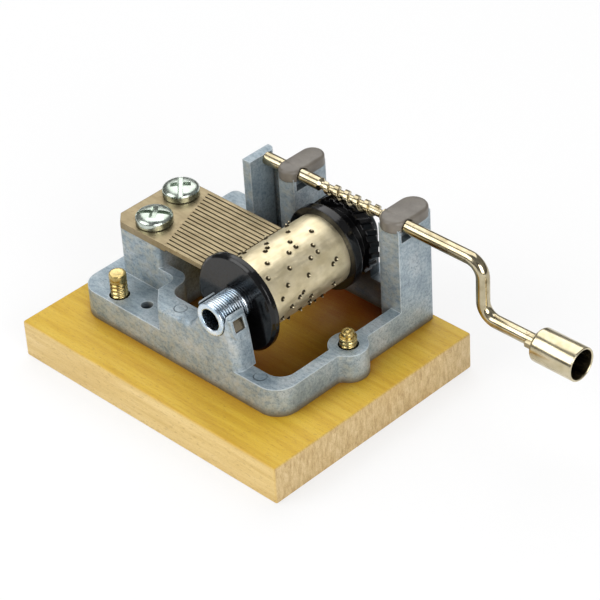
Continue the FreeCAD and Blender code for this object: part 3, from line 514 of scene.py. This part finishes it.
# %% [markdown]
# ## Lathe and thread
#
# A lathe turns an outline of radius and height into a solid, which suits screws, knobs and axles. A
# second helper lays a thread: a tube whose wall falls into a valley along a helix. Its rings have as
# many points as the turned parts of the same screw, so that the two can be welded without a gap.

# %% Lathe and thread
WELD = 1e-7
TURNED_STEPS = 96
THREAD_STEPS = 72
ROWS_PER_TURN = 12
VALLEY_STEEPNESS = 3.0


def turned(outline, place, steps=TURNED_STEPS):
    """Spin an outline of (radius, height) points about Z and carry it to its place."""
    mesh = bmesh.new()
    points = [mesh.verts.new((radius * MM, 0, height * MM)) for radius, height in outline]
    lines = [mesh.edges.new(pair) for pair in zip(points, points[1:])]
    bmesh.ops.spin(
        mesh, geom=points + lines, angle=math.tau, steps=steps, axis=(0, 0, 1), cent=(0, 0, 0))
    bmesh.ops.remove_doubles(mesh, verts=mesh.verts, dist=WELD)
    bmesh.ops.recalc_face_normals(mesh, faces=mesh.faces)
    mesh.transform(place)
    return mesh


def rounded(radius, height, turn_from, turn_to, bend, steps=6):
    """Outline points of an arc about (radius, height), in degrees."""
    turns = [math.radians(turn_from + (turn_to - turn_from) * step / steps) for step in range(steps + 1)]
    return [(radius + bend * math.cos(turn), height + bend * math.sin(turn)) for turn in turns]


def add_band(mesh, low, high):
    """Close the gap between two rings of points with faces."""
    for step in range(len(low)):
        after = (step + 1) % len(low)
        mesh.faces.new((low[step], low[after], high[after], high[step]))


def add_thread(mesh, place, radius, start, end, pitch, depth):
    """Add a tube with a helical valley, fading out at both ends."""
    rows = round((end - start) / pitch * ROWS_PER_TURN)
    rings = []
    for row in range(rows + 1):
        height = start + (end - start) * row / rows
        fade = min(1.0, (height - start) / pitch, (end - height) / pitch)
        ring = []
        for step in range(THREAD_STEPS):
            share = (height / pitch - step / THREAD_STEPS) % 1.0
            valley = max(0.0, 1.0 - abs(share - 0.5) * VALLEY_STEEPNESS)
            reach = (radius - depth * fade * valley) * MM
            turn = math.tau * step / THREAD_STEPS
            spot = Vector((reach * math.cos(turn), reach * math.sin(turn), height * MM))
            ring.append(mesh.verts.new(place @ spot))
        rings.append(ring)
    for low, high in zip(rings, rings[1:]):
        add_band(mesh, low, high)


print("lathe and thread are ready")

# %% [markdown]
# ## Prisms, cuts and settling
#
# Bars and plates are prisms: a flat outline that is raised to a height, with its upper rim softened.
# Recesses are cut with a second solid. `settle` gives a mesh its finish, hangs it on the body that it
# turns with, and hides the measured piece that it stands for.

# %% Prisms, cuts and settling
def prism(outline, low, high):
    """Raise an outline of (x, y) points from one height to another."""
    mesh = bmesh.new()
    foot = mesh.faces.new([mesh.verts.new((x * MM, y * MM, low * MM)) for x, y in outline])
    grown = bmesh.ops.extrude_face_region(mesh, geom=[foot])["geom"]
    roof = [item for item in grown if isinstance(item, bmesh.types.BMVert)]
    bmesh.ops.translate(mesh, vec=(0, 0, (high - low) * MM), verts=roof)
    bmesh.ops.recalc_face_normals(mesh, faces=mesh.faces)
    return mesh


def ease(mesh, edges, width):
    """Round some edges off in four steps."""
    bmesh.ops.bevel(mesh, geom=edges, offset=width * MM, segments=4, profile=0.5, affect="EDGES")


def ease_top(mesh, height, width):
    """Round the upper rim of a prism."""
    def on_top(edge):
        return all(abs(point.co.z - height * MM) < 1e-6 for point in edge.verts)
    ease(mesh, [edge for edge in mesh.edges if on_top(edge)], width)


def join(mesh, other):
    """Weld a second mesh onto the first."""
    data = bpy.data.meshes.new("joined")
    other.to_mesh(data)
    other.free()
    mesh.from_mesh(data)
    bpy.data.meshes.remove(data)
    bmesh.ops.remove_doubles(mesh, verts=mesh.verts, dist=WELD)
    bmesh.ops.recalc_face_normals(mesh, faces=mesh.faces)


def place_mesh(name, mesh):
    """Turn a mesh in the making into an object of the scene."""
    data = bpy.data.meshes.new(name)
    mesh.to_mesh(data)
    mesh.free()
    piece = bpy.data.objects.new(name, data)
    bpy.context.scene.collection.objects.link(piece)
    return piece


def settle(name, mesh, finish, body, slot, *nodes, crease=35):
    """Dress a new piece, hang it on its body and let it stand for measured nodes."""
    piece = place_mesh(name, mesh)
    piece.data.materials.append(finish.material)
    piece.data.shade_smooth()
    piece.data.set_sharp_from_angle(angle=math.radians(crease))
    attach(piece, body)
    if nodes:
        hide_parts(*nodes)
    print(name, "has", len(piece.data.vertices), "points")
    return piece


def cut(piece, mesh, place):
    """Take one mesh out of a piece."""
    mesh.transform(place)
    cutter = place_mesh("cutter", mesh)
    saw = piece.modifiers.new("cut", "BOOLEAN")
    saw.operation = "DIFFERENCE"
    saw.solver = "EXACT"
    saw.object = cutter
    bpy.context.view_layer.update()
    seen = bpy.context.evaluated_depsgraph_get()
    shaped = bpy.data.meshes.new_from_object(piece.evaluated_get(seen))
    piece.modifiers.remove(saw)
    bpy.data.objects.remove(cutter)
    piece.data = shaped
    shaped.shade_smooth()
    shaped.set_sharp_from_angle(angle=CREASE)


print("prisms, cuts and settling are ready")

# %% [markdown]
# ## The board
#
# The measured board has plain bevels. A real one is sanded by hand, so its edges are round. Bevelling
# a box in several steps makes them so.

# %% Board
BOARD_EASE = 0.4


def make_board():
    low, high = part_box("wood_base")
    mesh = bmesh.new()
    bmesh.ops.create_cube(mesh, size=1)
    mesh.transform(Matrix.Translation((low + high) / 2) @ Matrix.Diagonal((*(high - low), 1)))
    ease(mesh, mesh.edges, BOARD_EASE)
    settle("board", mesh, wood, "frame", "maple", "wood_base")


make_board()

# %% [markdown]
# ## Comb screws
#
# Each comb screw has a domed pan head with a combined slot and cross. The dome comes off the lathe.
# The recess is cut by two crossed, tapered blades, each turned a little as the screw was left.

# %% Comb screws
COMB_SHANK_RADIUS = 1.5
HEAD_EDGE = 0.12
DOME_FULLNESS = 0.6
SLOT_REACH = 2.6
SLOT_WIDTH = 1.0
CROSS_LENGTH = 3.8
CROSS_WIDTH = 1.2
BLADE_DEPTH = 0.96
BLADE_RISE = 0.2
BLADE_TAPER = 0.72


def blade(length, width, top):
    """A tapered blade that points down, as left by a screwdriver punch."""
    mesh = bmesh.new()
    bmesh.ops.create_cube(mesh, size=1)
    for point in mesh.verts:
        across, aside, up = point.co
        taper = 1.0 if up > 0 else BLADE_TAPER
        height = top + (up - 0.5) * BLADE_DEPTH
        point.co = Vector((across * length * taper, aside * width * taper, height)) * MM
    return mesh


def make_comb_screw(node, turn):
    low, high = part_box(node)
    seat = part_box("comb")[1].z
    radius = (high.x - low.x) / 2 / MM
    height = (high.z - seat) / MM
    shank = (seat - low.z) / MM
    dome = []
    for step in range(0, 90, 9):
        rise = math.radians(step)
        dome.append((radius * math.cos(rise) ** DOME_FULLNESS, height * (0.5 + 0.5 * math.sin(rise))))
    outline = [(0, -shank), (COMB_SHANK_RADIUS, -shank), (COMB_SHANK_RADIUS, 0),
               (radius - HEAD_EDGE, 0), (radius, HEAD_EDGE), *dome, (0, height)]
    place = Matrix.Translation((middle(node).x, middle(node).y, seat))
    screw = settle(node + "_head", turned(outline, place), nickel, "frame", "nickel", node)
    for extra, length, width in ((0, radius * SLOT_REACH, SLOT_WIDTH), (90, CROSS_LENGTH, CROSS_WIDTH)):
        way = place @ Matrix.Rotation(math.radians(turn + extra), 4, "Z")
        cut(screw, blade(length, width, height + BLADE_RISE), way)


make_comb_screw("comb_screw_near", turn=36)
make_comb_screw("comb_screw_far", turn=136)

# %% [markdown]
# ## Base screws
#
# Both come up through the board and the casting, and show a fine machine thread at the top. The right
# one ends in a narrow dog tip with a dimple from the centre drill, the left one is flat. Each is turned
# below and above, with a thread between.

# %% Base screws
SCREW_RADIUS = 1.5
SCREW_HEAD_RADIUS = 2.75
SCREW_HEAD_HEIGHT = 2.0
RING_TOP = 12.0
THREAD_PITCH = 0.75
THREAD_DEPTH = 0.26
DOG_TIP = ((1.4, 0.9), (1.1, 0.9), (1.1, 0.12), (1.0, 0), (0.6, 0), (0, 0.5))
FLAT_TIP = ((1.5, 0.3), (1.4, 0.08), (1.2, 0), (0.8, 0.06), (0, 0.06))


def make_base_screw(name, node, tip, bare):
    """A screw from below: its head in the board, its thread and its tip above the casting."""
    low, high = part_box(node)
    top, foot = high.z / MM, low.z / MM
    neck = foot + SCREW_HEAD_HEIGHT
    thread_end = top - bare
    place = Matrix.Translation((middle(node).x, middle(node).y, 0))
    stem = [(0, foot), (SCREW_HEAD_RADIUS, foot), (SCREW_HEAD_RADIUS, neck),
            (SCREW_RADIUS, neck), (SCREW_RADIUS, RING_TOP)]
    cap = [(SCREW_RADIUS, thread_end)] + [(radius, top - drop) for radius, drop in tip]
    mesh = turned(stem, place, THREAD_STEPS)
    add_thread(mesh, place, SCREW_RADIUS, RING_TOP, thread_end, THREAD_PITCH, THREAD_DEPTH)
    join(mesh, turned(cap, place, THREAD_STEPS))
    settle(name, mesh, brass, "frame", "brass", node)


make_base_screw("dog_screw", "base_screw_right", DOG_TIP, bare=1.0)
make_base_screw("flat_screw", "base_screw_left", FLAT_TIP, bare=1.1)

# %% [markdown]
# ## The axle
#
# The drum's axle is hollow, and its threaded stub lies in the open bearing at the front. It is built as
# the screws are, but lying down: the lathe's axis Z is turned onto Y, and the outline starts inside the
# bore, rolls over the lip and runs back along the thread to the thin journal behind.

# %% Axle
STUB_PITCH = 0.48
STUB_LENGTH = 5.6
STUB_EDGE = 0.2
BORE_RADIUS = 1.9
BORE_DEPTH = 14.0
BORE_LIP = 0.25
JOURNAL_RADIUS = 1.5
JOURNAL_EDGE = 0.15
ALONG_Y = Matrix.Rotation(-math.pi / 2, 4, "X")


def make_axle():
    node = "drum_axle"
    low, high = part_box(node)
    axis = middle(node)
    place = Matrix.Translation((axis.x, low.y, axis.z)) @ ALONG_Y
    radius = (high.x - low.x) / 2 / MM
    length = (high.y - low.y) / MM
    shoulder = (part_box("worm_wheel")[1].y - low.y) / MM
    bore = [(0, BORE_DEPTH), (BORE_RADIUS, BORE_DEPTH), (BORE_RADIUS, BORE_LIP)]
    lip = rounded(BORE_RADIUS + STUB_EDGE, STUB_EDGE, 180, 270, STUB_EDGE)
    rim = rounded(radius - STUB_EDGE, STUB_EDGE, -90, 0, STUB_EDGE)
    rear = [(radius, STUB_LENGTH), (radius, shoulder), (JOURNAL_RADIUS, shoulder),
            (JOURNAL_RADIUS, length - JOURNAL_EDGE), (JOURNAL_RADIUS - JOURNAL_EDGE, length), (0, length)]
    mesh = turned(bore + lip + rim, place, THREAD_STEPS)
    add_thread(mesh, place, radius, STUB_EDGE, STUB_LENGTH, STUB_PITCH, THREAD_DEPTH)
    join(mesh, turned(rear, place, THREAD_STEPS))
    settle("axle", mesh, axle_steel, "drum", "axle_steel", node)


make_axle()

# %% [markdown]
# ## The notes of the cylinder
#
# Each note is one point on the drum: a track along its length and an angle round it. The rule is the
# one that the measured drum follows, with one note on every beat and two on every fourth. A track lies
# under the middle of its comb tooth, so the first one is half a tooth in from the first tooth's side.

# %% Notes
BEATS = 60
TRACKS = 18
TRACK_PITCH = 0.905
SLIT_WIDTH = 0.24
DRUM_LEAD = 0.3
FIRST_TRACK = DRUM_LEAD + (TRACK_PITCH - SLIT_WIDTH) / 2


def notes():
    for beat in range(BEATS):
        for voice in range(1 + (beat % 4 == 0)):
            track = (5 * beat + 7 * voice + beat // 3) % TRACKS
            yield track, math.tau * beat / BEATS + math.radians(2.0 * (track % 3))


print(len(list(notes())), "notes on", TRACKS, "tracks")

# %% [markdown]
# ## The punched cylinder
#
# Each note is punched out of the metal from inside, so it stands as a small spike with a swollen foot,
# and the skin round it is dented. A fine grid is wrapped round the drum, folded and rippled a little,
# and lifted wherever a spike stands. The folds are cut off flat at the depth of a spike's foot.

# %% Cylinder
DRUM_RADIUS = 6.4
DRUM_WALL = 0.5
AROUND = 330
ALONG = 150
PIN_HEIGHT = 0.56
PIN_RADIUS = 0.36
PIN_FOOT = 0.05
PIN_TAPER = 0.8
DARK_RING_RADIUS = 0.62
DENT_RADIUS = 0.6
DENT_WIDTH = 0.25
DENT_DEPTH = 0.04
FOLDS = 7
FOLD_DEPTH = 0.2
RIPPLE_DEPTH = 0.04


def punch(turn, height):
    """How far each spot of the grid lies from the axis, and how near it is to a punched point."""
    folds = np.abs(np.sin(FOLDS / 2 * turn + 0.5 * np.sin(0.3 * height))) ** 4
    ripples = (1 + np.sin(8 * turn + 0.5 * height) * np.cos(0.45 * height + 2 * turn)) / 2
    reach = DRUM_RADIUS - FOLD_DEPTH * folds - RIPPLE_DEPTH * ripples
    near_pin = np.zeros(turn.shape)
    for track, angle in notes():
        aside = (turn - angle + math.pi) % math.tau - math.pi
        away = np.hypot(aside * DRUM_RADIUS, height - FIRST_TRACK - track * TRACK_PITCH)
        reach -= DENT_DEPTH * np.exp(-((away - DENT_RADIUS) / DENT_WIDTH) ** 2)
        spike = np.clip(1 - away / PIN_RADIUS, 0, 1)
        pin = DRUM_RADIUS - PIN_FOOT + (PIN_HEIGHT + PIN_FOOT) * spike ** PIN_TAPER
        reach = np.maximum(reach, pin)
        near_pin = np.maximum(near_pin, np.clip(1 - away / DARK_RING_RADIUS, 0, 1))
    return reach, near_pin


def make_cylinder():
    node = "drum_shell"
    low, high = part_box(node)
    axis = middle("drum_axle")
    length = (high.y - low.y) / MM
    turn, height = np.meshgrid(np.arange(AROUND) * math.tau / AROUND, np.linspace(0, length, ALONG))
    reach, near_pin = punch(turn, height)
    place = Matrix.Translation((axis.x, low.y, axis.z)) @ ALONG_Y
    mesh = bmesh.new()
    punched = mesh.verts.layers.float.new("punched")

    def add_ring(far, turns, heights):
        spots = zip(far * np.cos(turns), far * np.sin(turns), heights)
        return [mesh.verts.new(place @ (Vector(spot) * MM)) for spot in spots]

    rings = [add_ring(reach[row], turn[row], height[row]) for row in range(ALONG)]
    for ring, shares in zip(rings, near_pin):
        for point, share in zip(ring, shares):
            point[punched] = share
    for row in (-1, 0):
        rings.append(add_ring(DRUM_RADIUS - DRUM_WALL, turn[row], height[row]))
    rings.append(rings[0])
    for near, far in zip(rings, rings[1:]):
        add_band(mesh, near, far)
    bmesh.ops.recalc_face_normals(mesh, faces=mesh.faces)
    settle("punched_cylinder", mesh, drum_metal, "drum", "drum_metal", node, crease=50)


make_cylinder()

# %% [markdown]
# ## Shaft caps
#
# Each cap is a moulded bar with round ends that laps over its post and keeps the shaft down. A prism
# with a softened rim gives the bar, and an arch is cut through it for the shaft. The arch is drawn flat
# and stood up, so that it runs along X as the shaft does.

# %% Shaft caps
SHAFT_RADIUS = 1.15
SHAFT_PLAY = 0.12
ARCH_DROP = 4
CAP_HEIGHT = 2.0
CAP_LAP = 0.5
CAP_OVERHANG = 0.9
CAP_DROP = 0.75
CAP_RIM = 0.55
STAND_ALONG_X = Matrix(((0, 0, 1, 0), (1, 0, 0, 0), (0, 1, 0, 0), (0, 0, 0, 1)))


def make_shaft_cap(name, node):
    low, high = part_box(node)
    centre = middle(node)
    top = high.z / MM - CAP_DROP
    half = (high.x - low.x) / 2 / MM + CAP_LAP
    straight = (high.y - low.y) / 2 / MM - half
    pill = rounded(0, straight + CAP_LAP / 3, 0, 180, half, 14)
    pill += rounded(0, -straight - CAP_OVERHANG, 180, 360, half, 14)
    mesh = prism(pill, top - CAP_HEIGHT, top)
    ease_top(mesh, top, CAP_RIM)
    mesh.transform(Matrix.Translation((centre.x, centre.y, 0)))
    cap = settle(name, mesh, cap_plastic, "frame", "cap_plastic", node)
    bend = SHAFT_RADIUS + SHAFT_PLAY
    arch = [(-bend, -ARCH_DROP), *rounded(0, 0, 180, 0, bend, 16), (bend, -ARCH_DROP)]
    shaft_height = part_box("crank_shaft")[1].z - SHAFT_RADIUS * MM
    way = Matrix.Translation((centre.x, middle("crank_shaft").y, shaft_height))
    cut(cap, prism(arch, -half * 2, half * 2), way @ STAND_ALONG_X)


make_shaft_cap("cap_left", "shaft_cap_left")
make_shaft_cap("cap_right", "shaft_cap_right")

# %% [markdown]
# ## Small forms of the casting
#
# Two small forms are not on the measured casting. The first is a thin web that closes the slot between
# the stop wall and the left post. A prism with a softened top is enough for it.

# %% Web
WEB_FROM = (-9.6, 17.9)
WEB_TO = (-4.2, 19.4)
WEB_FOOT = 12.0
WEB_TOP = 27.6
WEB_EASE = 0.3


def rectangle(low, high):
    """The four corners between two opposite ones."""
    return [low, (high[0], low[1]), high, (low[0], high[1])]


def make_web():
    mesh = prism(rectangle(WEB_FROM, WEB_TO), WEB_FOOT, WEB_TOP)
    ease_top(mesh, WEB_TOP, WEB_EASE)
    settle("stop_web", mesh, zinc, "frame", "zinc")


make_web()

# %% [markdown]
# ## The tongue
#
# The second form is a tongue with a round foot, pressed over the axle on the right bearing lug. The press
# left a square in it. The tongue leans back with the lug, so it is drawn flat, as seen from its own front,
# and then carried to its place by three directions: across, up and out. The square is cut into it, and a
# thin plate of darker steel lies on the floor of the cut.

# %% Tongue
TONGUE_SPOT = Vector((12.66, -12.6, 20.75)) * MM
TONGUE_LEAN = math.radians(15.5)
TONGUE_WIDTH = 3.2
TONGUE_TOP = 1.5
TONGUE_BEND = -1.0
TONGUE_ROOT = -0.6
TONGUE_FACE = 0.22
TONGUE_EASE = 0.12
MARK_SIDE = 2.2
MARK_FOOT = -0.95
MARK_CUT = (0.0, 0.5)
PLATE = (-0.2, 0.04)
PLATE_EASE = 0.03
PLATE_SHARE = 0.98


def make_tongue():
    across = Vector((0, 1, 0))
    out = Vector((math.cos(TONGUE_LEAN), 0, math.sin(TONGUE_LEAN)))
    turn = Matrix((across, out.cross(across), out)).transposed().to_4x4()
    place = Matrix.Translation(TONGUE_SPOT) @ turn
    half = TONGUE_WIDTH / 2
    outline = [(-half, TONGUE_TOP), *rounded(0, TONGUE_BEND, 180, 360, half, 16), (half, TONGUE_TOP)]
    mesh = prism(outline, TONGUE_ROOT, TONGUE_FACE)
    ease_top(mesh, TONGUE_FACE, TONGUE_EASE)
    mesh.transform(place)
    tongue = settle("tongue", mesh, zinc, "frame", "zinc")
    square = rectangle((-MARK_SIDE / 2, MARK_FOOT), (MARK_SIDE / 2, MARK_FOOT + MARK_SIDE))
    cut(tongue, prism(square, *MARK_CUT), place)
    plate = prism([(x * PLATE_SHARE, y * PLATE_SHARE) for x, y in square], *PLATE)
    ease_top(plate, PLATE[1], PLATE_EASE)
    plate.transform(place)
    settle("pressed_square", plate, dark_steel, "frame", "zinc")


make_tongue()

# %% [markdown]
# ## The knob
#
# The knob is a turned cup with a thin rim. Both rims are softened on the lathe, and the inside of the
# cup is painted darker as shade, because little light gets in.

# %% Knob
KNOB_HOLE = 1.19
KNOB_WALL = 0.4
KNOB_FLOOR = 2.4
KNOB_SHOULDER = 0.6
KNOB_CORNER = 0.4
KNOB_STEPS = 128


def make_knob():
    node = "crank_knob"
    low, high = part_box(node)
    axis = middle(node)
    length = (high.x - low.x) / MM
    radius = (high.y - low.y) / 2 / MM
    bend = KNOB_WALL / 2
    inner = radius - KNOB_WALL
    corner = KNOB_FLOOR + KNOB_CORNER
    place = Matrix.Translation((low.x, axis.y, axis.z)) @ Matrix.Rotation(math.pi / 2, 4, "Y")
    shoulder = rounded(radius - KNOB_SHOULDER, KNOB_SHOULDER, -90, 0, KNOB_SHOULDER)
    rim = rounded(radius - bend, length - bend, 0, 180, bend, 10)
    cup = [(inner, corner), *rounded(inner - KNOB_CORNER, corner, 0, -90, KNOB_CORNER)]
    outline = [(KNOB_HOLE, 0), *shoulder, *rim, *cup, (KNOB_HOLE, KNOB_FLOOR), (KNOB_HOLE, 0)]
    settle("knob", turned(outline, place, KNOB_STEPS), knob_metal, "knob", "nickel_rod", node)


make_knob()

# %% [markdown]
# ## Floor
#
# The object stands on a pale floor. To a camera ray the floor glows nearly white, with a soft shadow
# left under the board. Light that bounces meets plain pale paper instead, so the glow adds no light to
# the object.

# %% Floor
FLOOR_HALF = 2.0
FLOOR_GREY = (0.86, 0.86, 0.86, 1)
FLOOR_GLOW = 0.72


def make_floor():
    mesh = bmesh.new()
    bmesh.ops.create_grid(mesh, x_segments=8, y_segments=8, size=FLOOR_HALF)
    floor = place_mesh("floor", mesh)
    sheet = Finish("paper_floor", FLOOR_GREY, rough=0.9)
    sheet.bump(sheet.noise(0.6, detail=3), 0.02, 0.2)
    glow = sheet.node("ShaderNodeEmission").outputs[0]
    seen = sheet.sum("MULTIPLY", sheet.camera_ray(), FLOOR_GLOW)
    sheet.blend(seen, sheet.shader.outputs[0], glow, "Material Output")
    floor.data.materials.append(sheet.material)


make_floor()
print("the floor is", FLOOR_HALF * 2, "m wide")

# %% [markdown]
# ## Room
#
# The camera sees a white room. Everything else sees a grey one with a bright band, a duller ceiling, and
# a dark patch where a photographer would stand, which gives polished metal something to mirror.

# %% Room
ROOM_BANDS = ((0.0, (0.35, 0.35, 0.34, 1)), (0.25, 0.55), (0.6, 0.95), (1.0, (0.5, 0.52, 0.55, 1)))
ROOM_STRENGTH = 0.34
DARK_SIDE = Vector((0.59, -0.53, 0.61))
DARK_PATCH = (0.01, 0.01, 0.01, 1)
PATCH_EDGE = 0.93
PATCH_CORE = 0.975


def make_room():
    world = bpy.data.worlds.new("studio")
    bpy.context.scene.world = world
    world.use_nodes = True
    room = Nodes(world.node_tree)
    way = room.node("ShaderNodeTexCoord").outputs["Generated"]
    bands = room.ramp(room.part(way, "Z"), *ROOM_BANDS)
    near = room.vector("DOT_PRODUCT", way, DARK_SIDE.normalized())
    patch = room.ramp(near, (PATCH_EDGE, 0.0), (PATCH_CORE, 1.0))
    grey = room.tree.nodes["Background"]
    room.feed(grey.inputs["Color"], room.mix(patch, bands, DARK_PATCH))
    room.feed(grey.inputs["Strength"], ROOM_STRENGTH)
    white = room.node("ShaderNodeBackground")
    room.feed(white.inputs["Color"], (1, 1, 1, 1))
    room.blend(room.camera_ray(), grey.outputs[0], white.outputs[0], "World Output")


make_room()
print("the room is lit at", ROOM_STRENGTH)

# %% [markdown]
# ## Lamps
#
# Three soft boxes: a key from the front left, a large one overhead and behind, and a fill from the
# right. The fill is the strongest, because the photograph's right-hand faces are bright. All three are
# big next to the object, so the shadows stay soft.

# %% Lamps
LAMP_AIM = Vector((0, 0, 0.015))


def make_lamp(name, spot, size, power):
    data = bpy.data.lights.new(name, "AREA")
    data.shape = "SQUARE"
    data.size = size
    data.energy = power
    lamp = bpy.data.objects.new(name, data)
    lamp.location = spot
    lamp.rotation_euler = (LAMP_AIM - Vector(spot)).to_track_quat("-Z", "Y").to_euler()
    bpy.context.scene.collection.objects.link(lamp)
    print(name, power, "W")


make_lamp("key", (-0.25, -0.45, 0.40), size=0.45, power=2.3)
make_lamp("top", (-0.22, 0.26, 0.50), size=0.60, power=2.3)
make_lamp("fill", (0.54, -0.22, 0.27), size=0.40, power=3.0)

# %% [markdown]
# ## Camera
#
# The camera was found by matching the board's corners and the drum's end to the photograph: it looks
# down at about 36 degrees from the front right, from far away, with a slight roll.

# %% Camera
CAMERA_SPOT = Vector((251.35, -226.48, 258.19)) * MM
CAMERA_AZIMUTH = math.radians(46.355)
CAMERA_ELEVATION = math.radians(36.054)
CAMERA_ROLL = math.radians(-3.638)
CAMERA_FIELD = math.radians(13.6035)
CAMERA_NEAR = 0.01


def make_camera():
    data = bpy.data.cameras.new("camera")
    data.angle = CAMERA_FIELD
    data.clip_start = CAMERA_NEAR
    camera = bpy.data.objects.new("camera", data)
    look = Euler((math.pi / 2 - CAMERA_ELEVATION, 0, CAMERA_AZIMUTH)).to_matrix().to_4x4()
    camera.matrix_world = Matrix.Translation(CAMERA_SPOT) @ look @ Matrix.Rotation(CAMERA_ROLL, 4, "Z")
    bpy.context.scene.collection.objects.link(camera)
    bpy.context.scene.camera = camera


make_camera()
bpy.context.scene.view_settings.view_transform = "Standard"
print("camera stands at", [round(value / MM) for value in CAMERA_SPOT], "mm")
